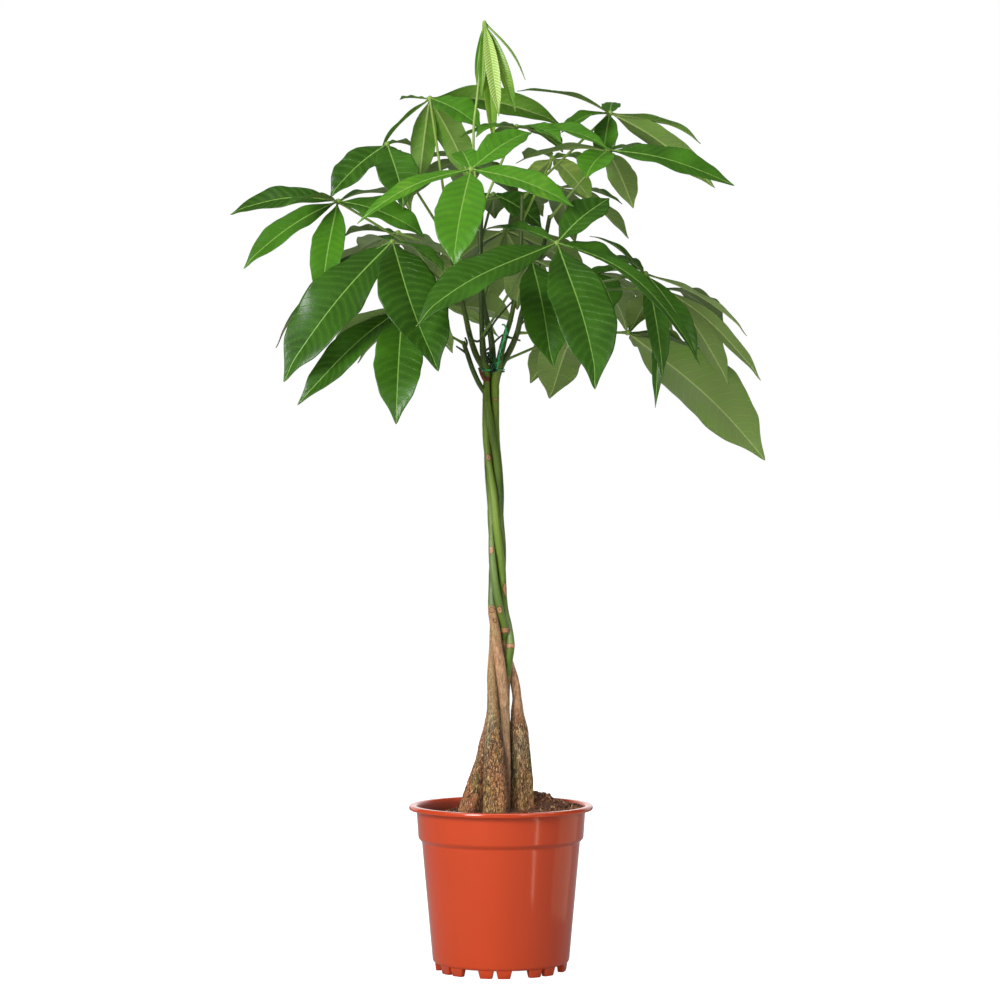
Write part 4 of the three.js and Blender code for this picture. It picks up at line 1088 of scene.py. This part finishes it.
def make_tie():
    skin = Skin()
    ring = tie_ring(TIE_TURNS, 72)
    loop, tail = curve(TIE_LOOP, 120), curve(TIE_TAIL, 160)
    coil = wound(loop[:70], 1.9, 6)
    twist = wound(tail[20:110], 1.6, 5)
    # The loop and its coil are painted dark as shade, the ring and tail brighter as lit parts of the wire
    for path, bright in ((ring, 0.35), (loop, 0), (coil, 0), (tail, 0.45), (twist, 0.4)):
        skin.add(*tube(path, WIRE_RADIUS, 12), bright=bright)
    dress(skin.build("wire_tie_coated", [tie_paint()]), "tie", "wire_tie")


# Floor, light and camera


def make_floor():
    """A pale floor that looks as white as the backdrop, and is dimmer as a light."""
    p = Paint("studio_floor", Roughness=0.9, Emission_Color=WHITE)
    shown = p.node("LightPath", out="Is Camera Ray")
    p.done(
        Base_Color=p.mix(p.noise(3, 2), *FLOOR_GREYS),
        Emission_Strength=p.line(shown, 1 - FLOOR_GLOW, FLOOR_GLOW),
    )
    skin = Skin()
    skin.add(circle(FLOOR_RADIUS, FLOOR_SIDES), [tuple(range(FLOOR_SIDES))])
    floor = skin.build("floor", [p.material])


def area_light(name, place, aim, size, power, colour=WHITE):
    data = bpy.data.lights.new(name, "AREA")
    data.shape = "RECTANGLE"
    data.size, data.size_y = size
    data.energy = power
    data.color = colour
    light = add_object(name, data)
    light.location = place
    light.visible_camera = False
    light.rotation_euler = (Vector(aim) - Vector(place)).to_track_quat("-Z", "Y").to_euler()
    return light


def light_world():
    """A white backdrop all round, dimmer as a light than it looks, and dimmer still in gloss."""
    world = bpy.data.worlds.new("studio")
    bpy.context.scene.world = world
    world.use_nodes = True
    tree = world.node_tree
    lit = tree.nodes["Background"]
    shown = tree.nodes.new("ShaderNodeBackground")
    for background in (lit, shown):
        background.inputs["Color"].default_value = (*WHITE, 1)
    rays = tree.nodes.new("ShaderNodeLightPath")
    strength = tree.nodes.new("ShaderNodeMapRange")
    strength.inputs["To Min"].default_value = BACKDROP_LIGHT
    strength.inputs["To Max"].default_value = BACKDROP_GLOSS
    blend = tree.nodes.new("ShaderNodeMixShader")
    for source, target in (
        (rays.outputs["Is Glossy Ray"], strength.inputs["Value"]),
        (strength.outputs[0], lit.inputs["Strength"]),
        (rays.outputs["Is Camera Ray"], blend.inputs[0]),
        (lit.outputs[0], blend.inputs[1]),
        (shown.outputs[0], blend.inputs[2]),
        (blend.outputs[0], tree.nodes["World Output"].inputs["Surface"]),
    ):
        tree.links.new(source, target)


def light_studio():
    light_world()
    for name, light in SOFTBOXES.items():
        area_light(name, *light)
    for name, light in MATT_LIGHTS.items():
        area_light(name, *light).visible_glossy = False
    for name, (place, aim, size, brightness, colour) in CARDS.items():
        power = brightness * math.pi * size[0] * size[1]
        area_light(name, place, aim, size, power, colour).visible_diffuse = False


def make_camera():
    data = bpy.data.cameras.new("camera")
    data.lens = CAMERA_LENS
    data.sensor_width = CAMERA_SENSOR
    camera = add_object("camera", data)
    camera.location = CAMERA_PLACE
    camera.rotation_euler = (math.pi / 2, 0, 0)
    bpy.context.scene.camera = camera


make_camera()
make_pot()
make_soil()
bark = stem_paint()
for number, (stem_name, stem_rows) in enumerate(STEMS.items()):
    make_stem(number, stem_name, stem_rows, bark)
leaf_paints = [blade_paint(side_name, **look) for side_name, look in BLADE_SIDES.items()] + [stalk_paint()]
for leaf_number in LEAFLETS:
    make_leaf(leaf_number, leaf_paints)
make_tie()
make_floor()
light_studio()
bpy.context.scene.view_settings.view_transform = "Standard"

bpy.context.view_layer.update()
